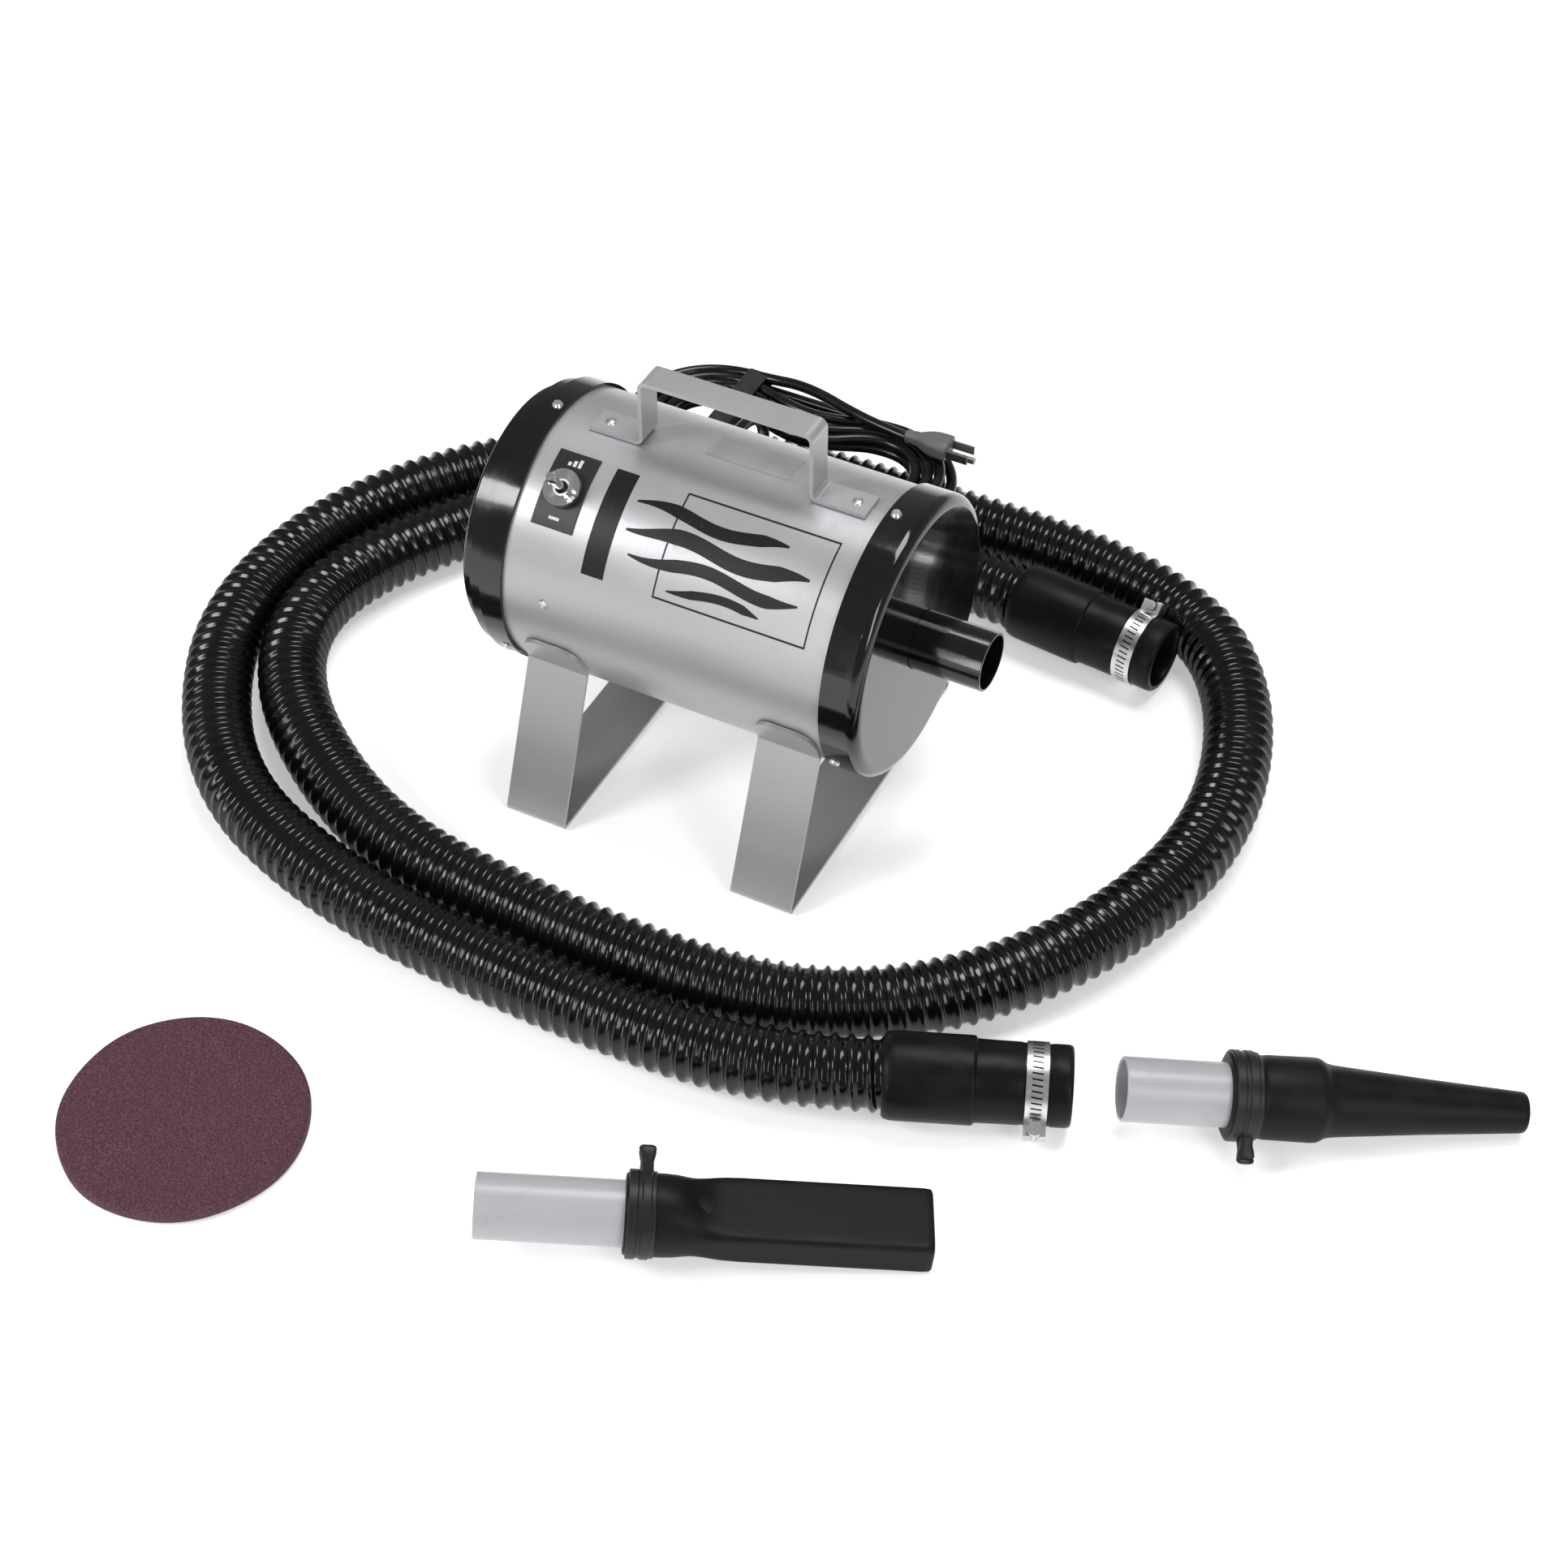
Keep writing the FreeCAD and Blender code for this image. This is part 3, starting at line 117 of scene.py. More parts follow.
def add_lights():
    add_light("key_light", (-1.4, -1.5, 1.7), (0.0, 0.0, 0.1), 0.7, 0.9, 29.0)
    add_light("top_light", (0.2, 0.7, 2.4), (0.0, 0.0, 0.1), 1.5, 0.9, 37.0)
    add_light("front_light", (1.8, -1.0, 1.1), (0.0, 0.0, 0.1), 0.5, 1.2, 13.0)
    add_light("strip_light", (-0.4, -2.2, 0.8), (0.0, 0.0, 0.15), 0.2, 1.4, 9.0)
    world = bpy.data.worlds.new("studio")
    world.use_nodes = True
    backdrop = world.node_tree.nodes["Background"]
    backdrop.inputs["Color"].default_value = (1.0, 1.0, 1.0, 1.0)
    backdrop.inputs["Strength"].default_value = 0.25
    bpy.context.scene.world = world
    bpy.context.scene.view_settings.view_transform = "Standard"


# ---- shader building ----


class Value:
    """A shader value whose arithmetic adds the nodes that it needs."""

    def __init__(self, tree, socket):
        self.tree = tree
        self.socket = socket

    def combine(self, operation, other, first=True):
        node = self.tree.nodes.new("ShaderNodeMath")
        node.operation = operation
        own, rest = (0, 1) if first else (1, 0)
        self.tree.links.new(self.socket, node.inputs[own])
        if isinstance(other, Value):
            self.tree.links.new(other.socket, node.inputs[rest])
        else:
            node.inputs[rest].default_value = other
        return Value(self.tree, node.outputs[0])

    def __add__(self, other):
        return self.combine("ADD", other)

    def __sub__(self, other):
        return self.combine("SUBTRACT", other)

    def __rsub__(self, other):
        return self.combine("SUBTRACT", other, first=False)

    def __mul__(self, other):
        return self.combine("MULTIPLY", other)

    def __pow__(self, other):
        return self.combine("POWER", other)

    def above(self, other):
        return self.combine("GREATER_THAN", other)

    __radd__ = __add__
    __rmul__ = __mul__


class Finish:
    """One material, with a Principled shader and the textures that vary it."""

    def __init__(self, name):
        self.material = bpy.data.materials.new(name)
        self.material.use_nodes = True
        self.tree = self.material.node_tree
        self.shader = self.tree.nodes["Principled BSDF"]
        self.place = self.node("ShaderNodeTexCoord").outputs["Object"]

    def node(self, kind, **inputs):
        node = self.tree.nodes.new(kind)
        for name, value in inputs.items():
            self.feed(node.inputs[name.replace("_", " ").title()], value)
        return node

    def feed(self, socket, value):
        if isinstance(value, Value):
            self.tree.links.new(value.socket, socket)
        elif isinstance(value, bpy.types.NodeSocket):
            self.tree.links.new(value, socket)
        else:
            socket.default_value = value

    def stretched(self, x, y, z):
        node = self.node("ShaderNodeMapping", vector=self.place)
        node.inputs["Scale"].default_value = (x, y, z)
        return node.outputs["Vector"]

    def noise(self, scale, detail=3.0, roughness=0.55, place=None):
        node = self.node(
            "ShaderNodeTexNoise", vector=place or self.place, scale=scale, detail=detail, roughness=roughness
        )
        return Value(self.tree, node.outputs["Fac"])

    def cells(self, scale, feature="F1"):
        node = self.node("ShaderNodeTexVoronoi", vector=self.place, scale=scale)
        node.feature = feature
        return Value(self.tree, node.outputs["Distance"])

    def ramp(self, value, low, high):
        node = self.tree.nodes.new("ShaderNodeMapRange")
        node.inputs["From Min"].default_value = low
        node.inputs["From Max"].default_value = high
        self.tree.links.new(value.socket, node.inputs["Value"])
        return Value(self.tree, node.outputs["Result"])

    def mix(self, factor, first, second):
        node = self.tree.nodes.new("ShaderNodeMix")
        node.data_type = "RGBA"
        self.feed(node.inputs[0], factor)
        for number, colour in ((6, first), (7, second)):
            self.feed(node.inputs[number], colour if hasattr(colour, "links") else (*colour, 1.0))
        return node.outputs[2]

    def bump(self, height, strength, distance, under=None):
        node = self.node("ShaderNodeBump", height=height, strength=strength, distance=distance)
        if under is not None:
            self.tree.links.new(under, node.inputs["Normal"])
        return node.outputs["Normal"]

    def set(
        self, colour=None, roughness=None, metallic=0.0, coat=0.0, normal=None, coat_roughness=0.1, shine=0.5
    ):
        if colour is not None:
            plain = not hasattr(colour, "links")
            self.feed(self.shader.inputs["Base Color"], (*colour, 1.0) if plain else colour)
        if roughness is not None:
            self.feed(self.shader.inputs["Roughness"], roughness)
        self.feed(self.shader.inputs["Metallic"], metallic)
        self.feed(self.shader.inputs["Coat Weight"], coat)
        self.shader.inputs["Coat Roughness"].default_value = coat_roughness
        self.shader.inputs["Specular IOR Level"].default_value = shine
        if normal is not None:
            self.tree.links.new(normal, self.shader.inputs["Normal"])
        return self.material


def satin_silver(name, tint):
    """Silver-grey enamel with fine flake, faint orange peel and dull rubbed patches."""
    finish = Finish(name)
    flake = finish.noise(5200.0, 1.0)
    cloud = finish.noise(14.0, 4.0)
    scuff = finish.ramp(finish.noise(60.0, 6.0, 0.7), 0.56, 0.72)
    light = tuple(channel * 1.12 for channel in tint)
    dark = tuple(channel * 0.88 for channel in tint)
    colour = finish.mix(flake * 0.5 + cloud * 0.5, dark, light)
    colour = finish.mix(scuff * 0.25, colour, tuple(channel * 0.8 for channel in tint))
    roughness = cloud * 0.12 + scuff * 0.1 + 0.3
    peel = finish.bump(finish.noise(420.0, 2.0), 0.12, 0.0003)
    return finish.set(colour, roughness, metallic=0.45, coat=0.25, normal=peel, coat_roughness=0.25)


def gloss_black(name):
    """Moulded black plastic with a high shine, a little dust and handling haze."""
    finish = Finish(name)
    haze = finish.ramp(finish.noise(22.0, 5.0, 0.65), 0.45, 0.75)
    dust = finish.ramp(finish.noise(900.0, 2.0), 0.68, 0.8)
    colour = finish.mix(dust * 0.12 + haze * 0.05, (0.004, 0.004, 0.0045), (0.08, 0.08, 0.085))
    roughness = haze * 0.12 + dust * 0.2 + 0.1
    peel = finish.bump(finish.noise(260.0, 2.0), 0.06, 0.0004)
    return finish.set(colour, roughness, coat=0.3, normal=peel, coat_roughness=0.05, shine=0.4)


def matte_rubber(name, shade=0.011, roughness=0.42):
    """Black rubber with bloom, mould grain and rubbed lighter patches."""
    finish = Finish(name)
    bloom = finish.ramp(finish.noise(35.0, 5.0, 0.6), 0.42, 0.78)
    grain = finish.noise(1500.0, 3.0)
    base = (shade, shade * 0.92, shade * 0.96)
    pale = (shade * 3.0, shade * 2.7, shade * 2.8)
    colour = finish.mix(bloom * 0.45, base, pale)
    rough = bloom * 0.14 + grain * 0.1 + roughness - 0.06
    skin = finish.bump(grain, 0.18, 0.0002)
    return finish.set(colour, rough, normal=skin, shine=0.12)


def hose_plastic():
    """Shiny black corrugated wall, with dust settled in its grooves' roughness."""
    finish = Finish("hose_black")
    haze = finish.ramp(finish.noise(30.0, 4.0), 0.4, 0.8)
    speck = finish.ramp(finish.noise(700.0, 2.0), 0.62, 0.75)
    colour = finish.mix(haze * 0.12 + speck * 0.08, (0.003, 0.003, 0.0032), (0.03, 0.029, 0.03))
    roughness = haze * 0.1 + speck * 0.12 + 0.13
    ripple = finish.bump(finish.noise(330.0, 2.0), 0.16, 0.0005)
    return finish.set(colour, roughness, normal=ripple, shine=0.36)


def pipe_plastic():
    """Grey pipe with faint mottling and rubbed marks."""
    finish = Finish("pipe_grey")
    mottle = finish.noise(45.0, 5.0, 0.6)
    rub = finish.ramp(finish.noise(160.0, 6.0, 0.7), 0.58, 0.75)
    colour = finish.mix(mottle, (0.36, 0.365, 0.385), (0.44, 0.445, 0.465))
    colour = finish.mix(rub * 0.3, colour, (0.26, 0.26, 0.275))
    roughness = mottle * 0.1 + rub * 0.15 + 0.26
    skin = finish.bump(finish.noise(500.0, 2.0), 0.05, 0.0003)
    return finish.set(colour, roughness, normal=skin)


def worked_steel(name, colour, roughness, along=(30.0, 900.0, 900.0)):
    """Plated or ground steel with fine drawn lines and darker stains."""
    finish = Finish(name)
    lines = finish.noise(1.0, 3.0, place=finish.stretched(*along))
    stain = finish.ramp(finish.noise(90.0, 5.0, 0.65), 0.5, 0.8)
    dark = tuple(channel * 0.55 for channel in colour)
    shade = finish.mix(stain * 0.5, colour, dark)
    rough = lines * 0.16 + stain * 0.15 + roughness
    grain = finish.bump(lines, 0.15, 0.0001)
    return finish.set(shade, rough, metallic=1.0, normal=grain)


def chrome(name):
    finish = Finish(name)
    smear = finish.ramp(finish.noise(120.0, 5.0), 0.45, 0.8)
    colour = finish.mix(smear * 0.3, (0.83, 0.83, 0.85), (0.5, 0.48, 0.48))
    return finish.set(colour, smear * 0.15 + 0.07, metallic=1.0)


def layered_steel(name):
    """Stacked laminations seen edge on."""
    finish = Finish(name)
    bands = finish.noise(1.0, 1.0, place=finish.stretched(2400.0, 8.0, 8.0))
    rust = finish.ramp(finish.noise(70.0, 5.0), 0.5, 0.8)
    colour = finish.mix(bands, (0.1, 0.1, 0.105), (0.3, 0.3, 0.31))
    colour = finish.mix(rust * 0.3, colour, (0.16, 0.09, 0.06))
    return finish.set(colour, bands * 0.2 + 0.4, metallic=0.9, normal=finish.bump(bands, 0.3, 0.0003))


def wound_copper(name):
    """Enamelled wire laid round and round."""
    finish = Finish(name)
    wires = finish.noise(1.0, 2.0, place=finish.stretched(900.0, 1500.0, 1500.0))
    colour = finish.mix(wires, (0.3, 0.09, 0.03), (0.7, 0.3, 0.13))
    return finish.set(colour, wires * 0.2 + 0.25, metallic=0.9, normal=finish.bump(wires, 0.4, 0.0004))


def moulded_plastic(name, shade, roughness=0.45):
    finish = Finish(name)
    tone = finish.noise(40.0, 4.0)
    grain = finish.noise(1800.0, 2.0)
    low = tuple(channel * 0.85 for channel in shade)
    high = tuple(channel * 1.25 for channel in shade)
    colour = finish.mix(tone, low, high)
    skin = finish.bump(grain, 0.12, 0.0002)
    return finish.set(colour, grain * 0.14 + roughness - 0.05, normal=skin, shine=0.3)


def cord_jacket():
    """Smooth black flexible lead with a soft shine and faint handling marks."""
    finish = Finish("cord_black")
    rub = finish.ramp(finish.noise(80.0, 5.0, 0.6), 0.45, 0.8)
    colour = finish.mix(rub * 0.3, (0.004, 0.004, 0.0045), (0.035, 0.035, 0.037))
    skin = finish.bump(finish.noise(600.0, 3.0), 0.1, 0.0002)
    return finish.set(colour, rub * 0.12 + 0.2, normal=skin, shine=0.38)


def woven_tape():
    """Black hook-and-loop tape: short fuzzy pile in rows."""
    finish = Finish("tie_fabric")
    pile = finish.cells(1400.0)
    tone = finish.noise(200.0, 4.0)
    colour = finish.mix(pile * tone, (0.007, 0.007, 0.008), (0.06, 0.06, 0.065))
    return finish.set(colour, 0.85, normal=finish.bump(pile, 0.7, 0.0006))


def open_foam():
    """Maroon filter foam with open cells of about a millimetre; the cell hollows get painted shade (darker
    colour) as well as a bump.
    """
    finish = Finish("foam_maroon")
    pores = finish.cells(780.0)
    fine = finish.cells(1700.0)
    cloud = finish.noise(26.0, 4.0)
    pore_depth_and_shade = finish.ramp(pores * 0.6 + fine * 0.4, 0.18, 0.62)
    # painted shade: the colour darkens towards each pore's hollow, the same mask that dents the bump
    colour = finish.mix(pore_depth_and_shade, (0.03, 0.008, 0.016), (0.13, 0.048, 0.072))
    colour = finish.mix(cloud * 0.35, colour, (0.085, 0.032, 0.05))
    normal = finish.bump(pore_depth_and_shade, 0.8, 0.0012)
    return finish.set(colour, 0.92, normal=normal)


def printed_ink():
    """Black ink laid on the enamel, with pinholes and slightly worn edges."""
    finish = Finish("print_black")
    worn = finish.ramp(finish.noise(240.0, 6.0, 0.7), 0.6, 0.78)
    colour = finish.mix(worn * 0.35, (0.008, 0.007, 0.008), (0.12, 0.12, 0.125))
    dents = finish.bump(finish.noise(900.0, 2.0), 0.08, 0.0001)
    return finish.set(colour, worn * 0.2 + 0.38, normal=dents, shine=0.25)


def pale_print():
    """Light grey ink for the marks on the switch plate."""
    finish = Finish("print_pale")
    worn = finish.ramp(finish.noise(400.0, 5.0, 0.7), 0.55, 0.75)
    colour = finish.mix(worn * 0.5, (0.62, 0.6, 0.62), (0.25, 0.24, 0.25))
    return finish.set(colour, worn * 0.2 + 0.4, normal=finish.bump(worn, 0.1, 0.0001))


def label_foil():
    """A blank brushed foil label."""
    finish = Finish("label_foil")
    lines = finish.noise(1.0, 3.0, place=finish.stretched(40.0, 1500.0, 1500.0))
    tone = finish.noise(50.0, 4.0)
    colour = finish.mix(tone * 0.6 + lines * 0.3, (0.34, 0.34, 0.35), (0.62, 0.62, 0.64))
    return finish.set(colour, lines * 0.15 + 0.3, metallic=0.7, normal=finish.bump(lines, 0.1, 0.0001))


FLOOR_GLOW = 0.42


def floor_paint():
    """A pale floor with a faint glow of its own, so that it stays white under soft lights."""
    finish = Finish("floor_pale")
    tone = finish.noise(3.0, 4.0)
    grain = finish.noise(160.0, 3.0)
    colour = finish.mix(tone, (0.86, 0.86, 0.865), (0.9, 0.9, 0.9))
    finish.shader.inputs["Emission Color"].default_value = (1.0, 1.0, 1.0, 1.0)
    finish.shader.inputs["Emission Strength"].default_value = FLOOR_GLOW
    return finish.set(colour, grain * 0.1 + 0.6, normal=finish.bump(grain, 0.02, 0.0005))


SILVER = (0.4, 0.395, 0.41)
FINISHES = {
    "drum_paint": satin_silver("drum_paint", SILVER),
    "handle_paint": satin_silver("handle_paint", SILVER),
    "leg_paint": satin_silver("leg_paint", (0.38, 0.375, 0.39)),
    "front_cap_black": gloss_black("front_cap_black"),
    "rear_cap_black": gloss_black("rear_cap_black"),
    "outlet_black": gloss_black("outlet_black"),
    "plain_steel": worked_steel("plain_steel", (0.35, 0.35, 0.36), 0.35, (200.0, 200.0, 200.0)),
    "screw_steel": worked_steel("screw_steel", (0.78, 0.78, 0.8), 0.2, (400.0, 400.0, 400.0)),
    "rivet_steel": worked_steel("rivet_steel", (0.62, 0.62, 0.65), 0.25, (400.0, 400.0, 400.0)),
    "gasket_rubber": matte_rubber("gasket_rubber", 0.025, 0.7),
    "motor_steel": worked_steel("motor_steel", (0.42, 0.42, 0.43), 0.3, (60.0, 500.0, 500.0)),
    "bright_steel": worked_steel("bright_steel", (0.68, 0.68, 0.7), 0.15, (1500.0, 60.0, 60.0)),
    "laminated_steel": layered_steel("laminated_steel"),
    "copper": wound_copper("copper"),
    "brush_plastic": moulded_plastic("brush_plastic", (0.1, 0.06, 0.035)),
    "impeller_aluminium": worked_steel("impeller_aluminium", (0.7, 0.7, 0.71), 0.3, (900.0, 90.0, 90.0)),
    "switch_plate_black": moulded_plastic("switch_plate_black", (0.02, 0.019, 0.02), 0.35),
    "switch_chrome": chrome("switch_chrome"),
    "switch_steel": worked_steel("switch_steel", (0.6, 0.6, 0.61), 0.25, (300.0, 300.0, 300.0)),
    "lever_chrome": chrome("lever_chrome"),
    "gland_rubber": matte_rubber("gland_rubber", 0.01, 0.5),
    "cord_black": cord_jacket(),
    "tie_fabric": woven_tape(),
    "plug_grey": moulded_plastic("plug_grey", (0.13, 0.13, 0.135), 0.4),
    "plug_brass": worked_steel("plug_brass", (0.3, 0.29, 0.27), 0.3, (60.0, 800.0, 800.0)),
    "hose_black": hose_plastic(),
    "cuff_rubber": matte_rubber("cuff_rubber", 0.006, 0.36),
    "clamp_steel": worked_steel("clamp_steel", (0.66, 0.64, 0.66), 0.22, (500.0, 500.0, 60.0)),
    "clamp_screw_steel": worked_steel("clamp_screw_steel", (0.7, 0.7, 0.72), 0.18, (300.0, 300.0, 300.0)),
    "pipe_grey": pipe_plastic(),
    "nozzle_rubber": matte_rubber("nozzle_rubber", 0.007, 0.42),
    "nozzle_clamp_black": moulded_plastic("nozzle_clamp_black", (0.011, 0.011, 0.012), 0.4),
    "foam_maroon": open_foam(),
}
INK = printed_ink()
PALE_INK = pale_print()
FOIL = label_foil()


def dress_nodes():
    """Give every node of the part the finish of its own slot."""
    for row in frame["record"]["subparts"]:
        node = bpy.data.objects[row["node"]]
        node.data.materials.clear()
        node.data.materials.append(FINISHES[row["material_slot"]])


# ---- mesh building ----


def new_piece(name, bm, body, finish, smooth=30.0):
    bmesh.ops.recalc_face_normals(bm, faces=bm.faces[:])
    mesh = bpy.data.meshes.new(name)
    bm.to_mesh(mesh)
    bm.free()
    mesh.materials.append(finish)
    mesh.shade_smooth()
    piece = bpy.data.objects.new(name, mesh)
    bpy.context.collection.objects.link(piece)
    if smooth is not None:
        mesh.set_sharp_from_angle(angle=math.radians(smooth))
    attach(piece, body)
    return piece


def soften(piece, width, segments=3):
    """Round off the sharp edges of a piece."""
    bevel = piece.modifiers.new("edges", "BEVEL")
    bevel.width = width
    bevel.segments = segments
    bevel.limit_method = "ANGLE"
    bevel.angle_limit = math.radians(35.0)


def facing(spot, along, up=Vector((0.0, 0.0, 1.0))):
    """A place whose X runs along a direction and whose Z is as near to up as can be."""
    x = Vector(along).normalized()
    y = up.cross(x).normalized()
    z = x.cross(y)
    return Matrix.Translation(spot) @ Matrix((x, y, z)).transposed().to_4x4()


def spin_outline(bm, corners, place, steps=64):
    """Spin (along, radius) corners, in millimetres, about the place's X axis."""
    spots = [bm.verts.new((a * MM, 0.0, r * MM)) for a, r in corners]
    edges = [bm.edges.new(pair) for pair in zip(spots, spots[1:])]
    made = bmesh.ops.spin(
        bm,
        geom=spots + edges,
        cent=(0.0, 0.0, 0.0),
        axis=(1.0, 0.0, 0.0),
        angle=math.tau,
        steps=steps,
        use_merge=True,
    )
    bmesh.ops.remove_doubles(bm, verts=bm.verts[:], dist=0.00001)
    bmesh.ops.transform(bm, matrix=place, verts=bm.verts[:])
    return made


def loft(bm, rings, closed_start=False, closed_end=False):
    """Join rings of equal count into a skin."""
    rows = [[bm.verts.new(spot) for spot in ring] for ring in rings]
    for near, far in zip(rows, rows[1:]):
        count = len(near)
        for index in range(count):
            other = (index + 1) % count
            bm.faces.new((near[index], near[other], far[other], far[index]))
    if closed_start:
        bm.faces.new(list(reversed(rows[0])))
    if closed_end:
        bm.faces.new(rows[-1])


# ---- routes ----

HOSE_ROUTE = [
    (131, 193.5, 26.5), (84.5, 198.5, 25.6), (35, 203.5, 23.8), (-15, 205, 23), (-65, 202.5, 23),
    (-115, 194, 23), (-163, 177, 23), (-206, 149, 23), (-240, 115, 23), (-268, 76, 23), (-293, 32, 23),
    (-307, -19, 23), (-297, -70, 23), (-267, -114, 23), (-223, -151, 23), (-169, -183, 23),
    (-113, -201, 23), (-55, -207, 23), (5, -211, 23), (65, -210.5, 23), (119, -206, 23), (167, -192, 23),
    (210, -167, 23), (247, -132, 23), (279, -88, 23), (304, -36, 23), (319, 20, 23), (320, 75, 23),
    (309, 127, 23), (289, 175, 23), (257, 217, 23), (212, 241, 23), (160, 253, 23), (106, 256, 23),
    (52, 254.5, 23), (-2, 254, 23), (-56, 252, 23), (-110, 245, 23), (-162, 230, 23), (-209, 207, 23),
    (-251, 176, 23), (-289, 137, 23), (-322, 90, 23), (-344, 36, 23), (-351.5, -22, 23),
    (-343, -79, 23), (-317, -131, 23), (-281, -178, 23), (-236, -212, 23), (-183, -233, 23),
    (-127, -247, 23), (-70, -254.5, 23), (-12, -257.5, 23), (46, -259, 23), (103, -258, 23.6),
    (148, -252, 24.8), (191, -240.2, 25.9), (228, -225, 26.5),
]
LEAD_ROUTE = [
    (-60, 123, 151), (-60, 138.1, 151), (-60.7, 155.1, 144), (-62, 168, 131.1), (-63.5, 174.6, 114.1),
    (-65, 175, 85.9), (-71.4, 175.2, 70.5), (-83.2, 175.4, 58.7), (-98.7, 175.8, 52.6), (-118, 176, 52.3),
]
TAIL_ROUTE = [
    (-118, 293, 62.6), (-98, 291.5, 66.6), (-76, 286.8, 68.6), (-52, 279, 69),
    (-26, 272.4, 69.4), (0, 268.5, 69.8),
]
HANK_LEFT = -138.0
HANK_RIGHT = -12.0
HANK_MIDDLE = 234.5
LOW_LAYER = 52.3
HIGH_LAYER = 60.4
FOLD_STEPS = (-75.0, -45.0, -15.0, 15.0, 45.0, 75.0)
FOLD_SPREAD = 1.035
FOLD_RADII = (58.0, 49.5, 41.0, 32.5, 24.0)
RUN_OFFSETS = (58.0, 44.0, 30.0, 16.0, 2.0)
FAR_RUN = (-130.0, -116.0, -98.0, -76.0, -54.0, -38.0, -24.0)
NEAR_SHARES = (0.0, 0.0, 0.15, 0.5, 0.85, 1.0, 1.0)
FAN_MIDDLE = -76.0
FAN_REACH = 48.0
FAN_EASE = 36.0
INNER_TURN = 3
LAYER_SHIFT = 0.5


def fold(points, centre, radius, side, height):
    """Points round one end of the hank: side -1 from near to far, side 1 from far to near."""
    wide = radius * FOLD_SPREAD
    for angle in FOLD_STEPS:
        swing = math.radians(angle)
        across = wide * math.sin(swing) * -side
        reach = wide * math.cos(swing) * side
        points.append((centre + reach, HANK_MIDDLE + across, height))


def blend(values, number):
    """The value at a place between two entries; below the first it runs straight on."""
    inner = min(int(number), len(values) - 2)
    share = number - inner
    return values[inner] * (1.0 - share) + values[inner + 1] * share


def lane(number, along, shift=0.0):
    """How far from the hank's middle a turn runs: turns lie close at the folds and fan out between them."""
    fan = min(1.0, max(0.0, (FAN_REACH - abs(along - FAN_MIDDLE)) / FAN_EASE))
    return blend(FOLD_RADII, number) * (1.0 - fan) + blend(RUN_OFFSETS, number + shift) * fan


def far_run(points, number, height, shift=0.0):
    for along in FAR_RUN:
        points.append((along, HANK_MIDDLE + lane(number, along, shift), height))


def near_run(points, first, last, low, high, shift=0.0):
    """A run back along the near side that passes from one lane and one layer to the next."""
    for along, share in zip(reversed(FAR_RUN), NEAR_SHARES):
        number = first + (last - first) * share
        height = low + (high - low) * share
        points.append((along, HANK_MIDDLE - lane(number, along, shift), height))


def hank_turns():
    """Control points of the wound cord: turns inward below, then outward above."""
    points = []
    low, high = LOW_LAYER, HIGH_LAYER
    for turn in range(INNER_TURN + 1):
        fold(points, HANK_LEFT, FOLD_RADII[turn], -1, low)
        far_run(points, turn, low)
        fold(points, HANK_RIGHT, FOLD_RADII[turn], 1, low)
        if turn < INNER_TURN:
            near_run(points, turn, turn + 1, low, low, -LAYER_SHIFT)
        else:
            near_run(points, turn, turn, low, high, -LAYER_SHIFT)
    for turn in range(INNER_TURN, -1, -1):
        fold(points, HANK_LEFT, FOLD_RADII[turn], -1, high)
        if turn > 0:
            far_run(points, turn, high, LAYER_SHIFT)
            fold(points, HANK_RIGHT, FOLD_RADII[turn], 1, high)
            near_run(points, turn, turn - 1, high, high, LAYER_SHIFT)
    return points


def smooth_curve(name, route, resolution):
    data = bpy.data.curves.new(name, "CURVE")
    data.dimensions = "3D"
    data.resolution_u = resolution
    spline = data.splines.new("NURBS")
    spline.points.add(len(route) - 1)
    for point, spot in zip(spline.points, route):
        point.co = (spot[0] * MM, spot[1] * MM, spot[2] * MM, 1.0)
    spline.order_u = 3
    spline.use_endpoint_u = True
    return data


class Line:
    """The line that a route's smooth spline follows, read at any distance along it."""

    def __init__(self, route, resolution=20):
        data = smooth_curve("line", route, resolution)
        holder = bpy.data.objects.new("line", data)
        mesh = bpy.data.meshes.new_from_object(holder)
        self.spots = [vertex.co.copy() for vertex in mesh.vertices]
        bpy.data.objects.remove(holder)
        bpy.data.meshes.remove(mesh)
        bpy.data.curves.remove(data)
        self.reached = [0.0]
        for before, after in zip(self.spots, self.spots[1:]):
            self.reached.append(self.reached[-1] + (after - before).length)
        self.length = self.reached[-1]
        self.tangents = []
        last = len(self.spots) - 1
        for index in range(last + 1):
            step = self.spots[min(index + 1, last)] - self.spots[max(index - 1, 0)]
            self.tangents.append(step.normalized())
        self.index = 0

    def at(self, distance):
        """The spot and the heading at a distance; past an end the line runs straight on."""
        while self.index > 0 and self.reached[self.index] > distance:
            self.index -= 1
        while self.index < len(self.spots) - 2 and self.reached[self.index + 1] < distance:
            self.index += 1
        start, end = self.reached[self.index], self.reached[self.index + 1]
        share = (distance - start) / (end - start)
        spot = self.spots[self.index].lerp(self.spots[self.index + 1], share)
        tangent = self.tangents[self.index].lerp(self.tangents[self.index + 1], share)
        return spot, tangent.normalized()


# ---- hose ----

HOSE_RADIUS = 23.0
RIB_PITCH = 10.0
RIB_DEPTH = 2.9
RIB_SHAPE = (0.0, 0.22, 0.78, 1.0, 0.93, 1.0, 0.78, 0.22)
HOSE_SIDES = 30
CUFF_LENGTH = 104.0
SOCKET_DEPTH = 57.6
HOSE_OVERRUN = 0.9


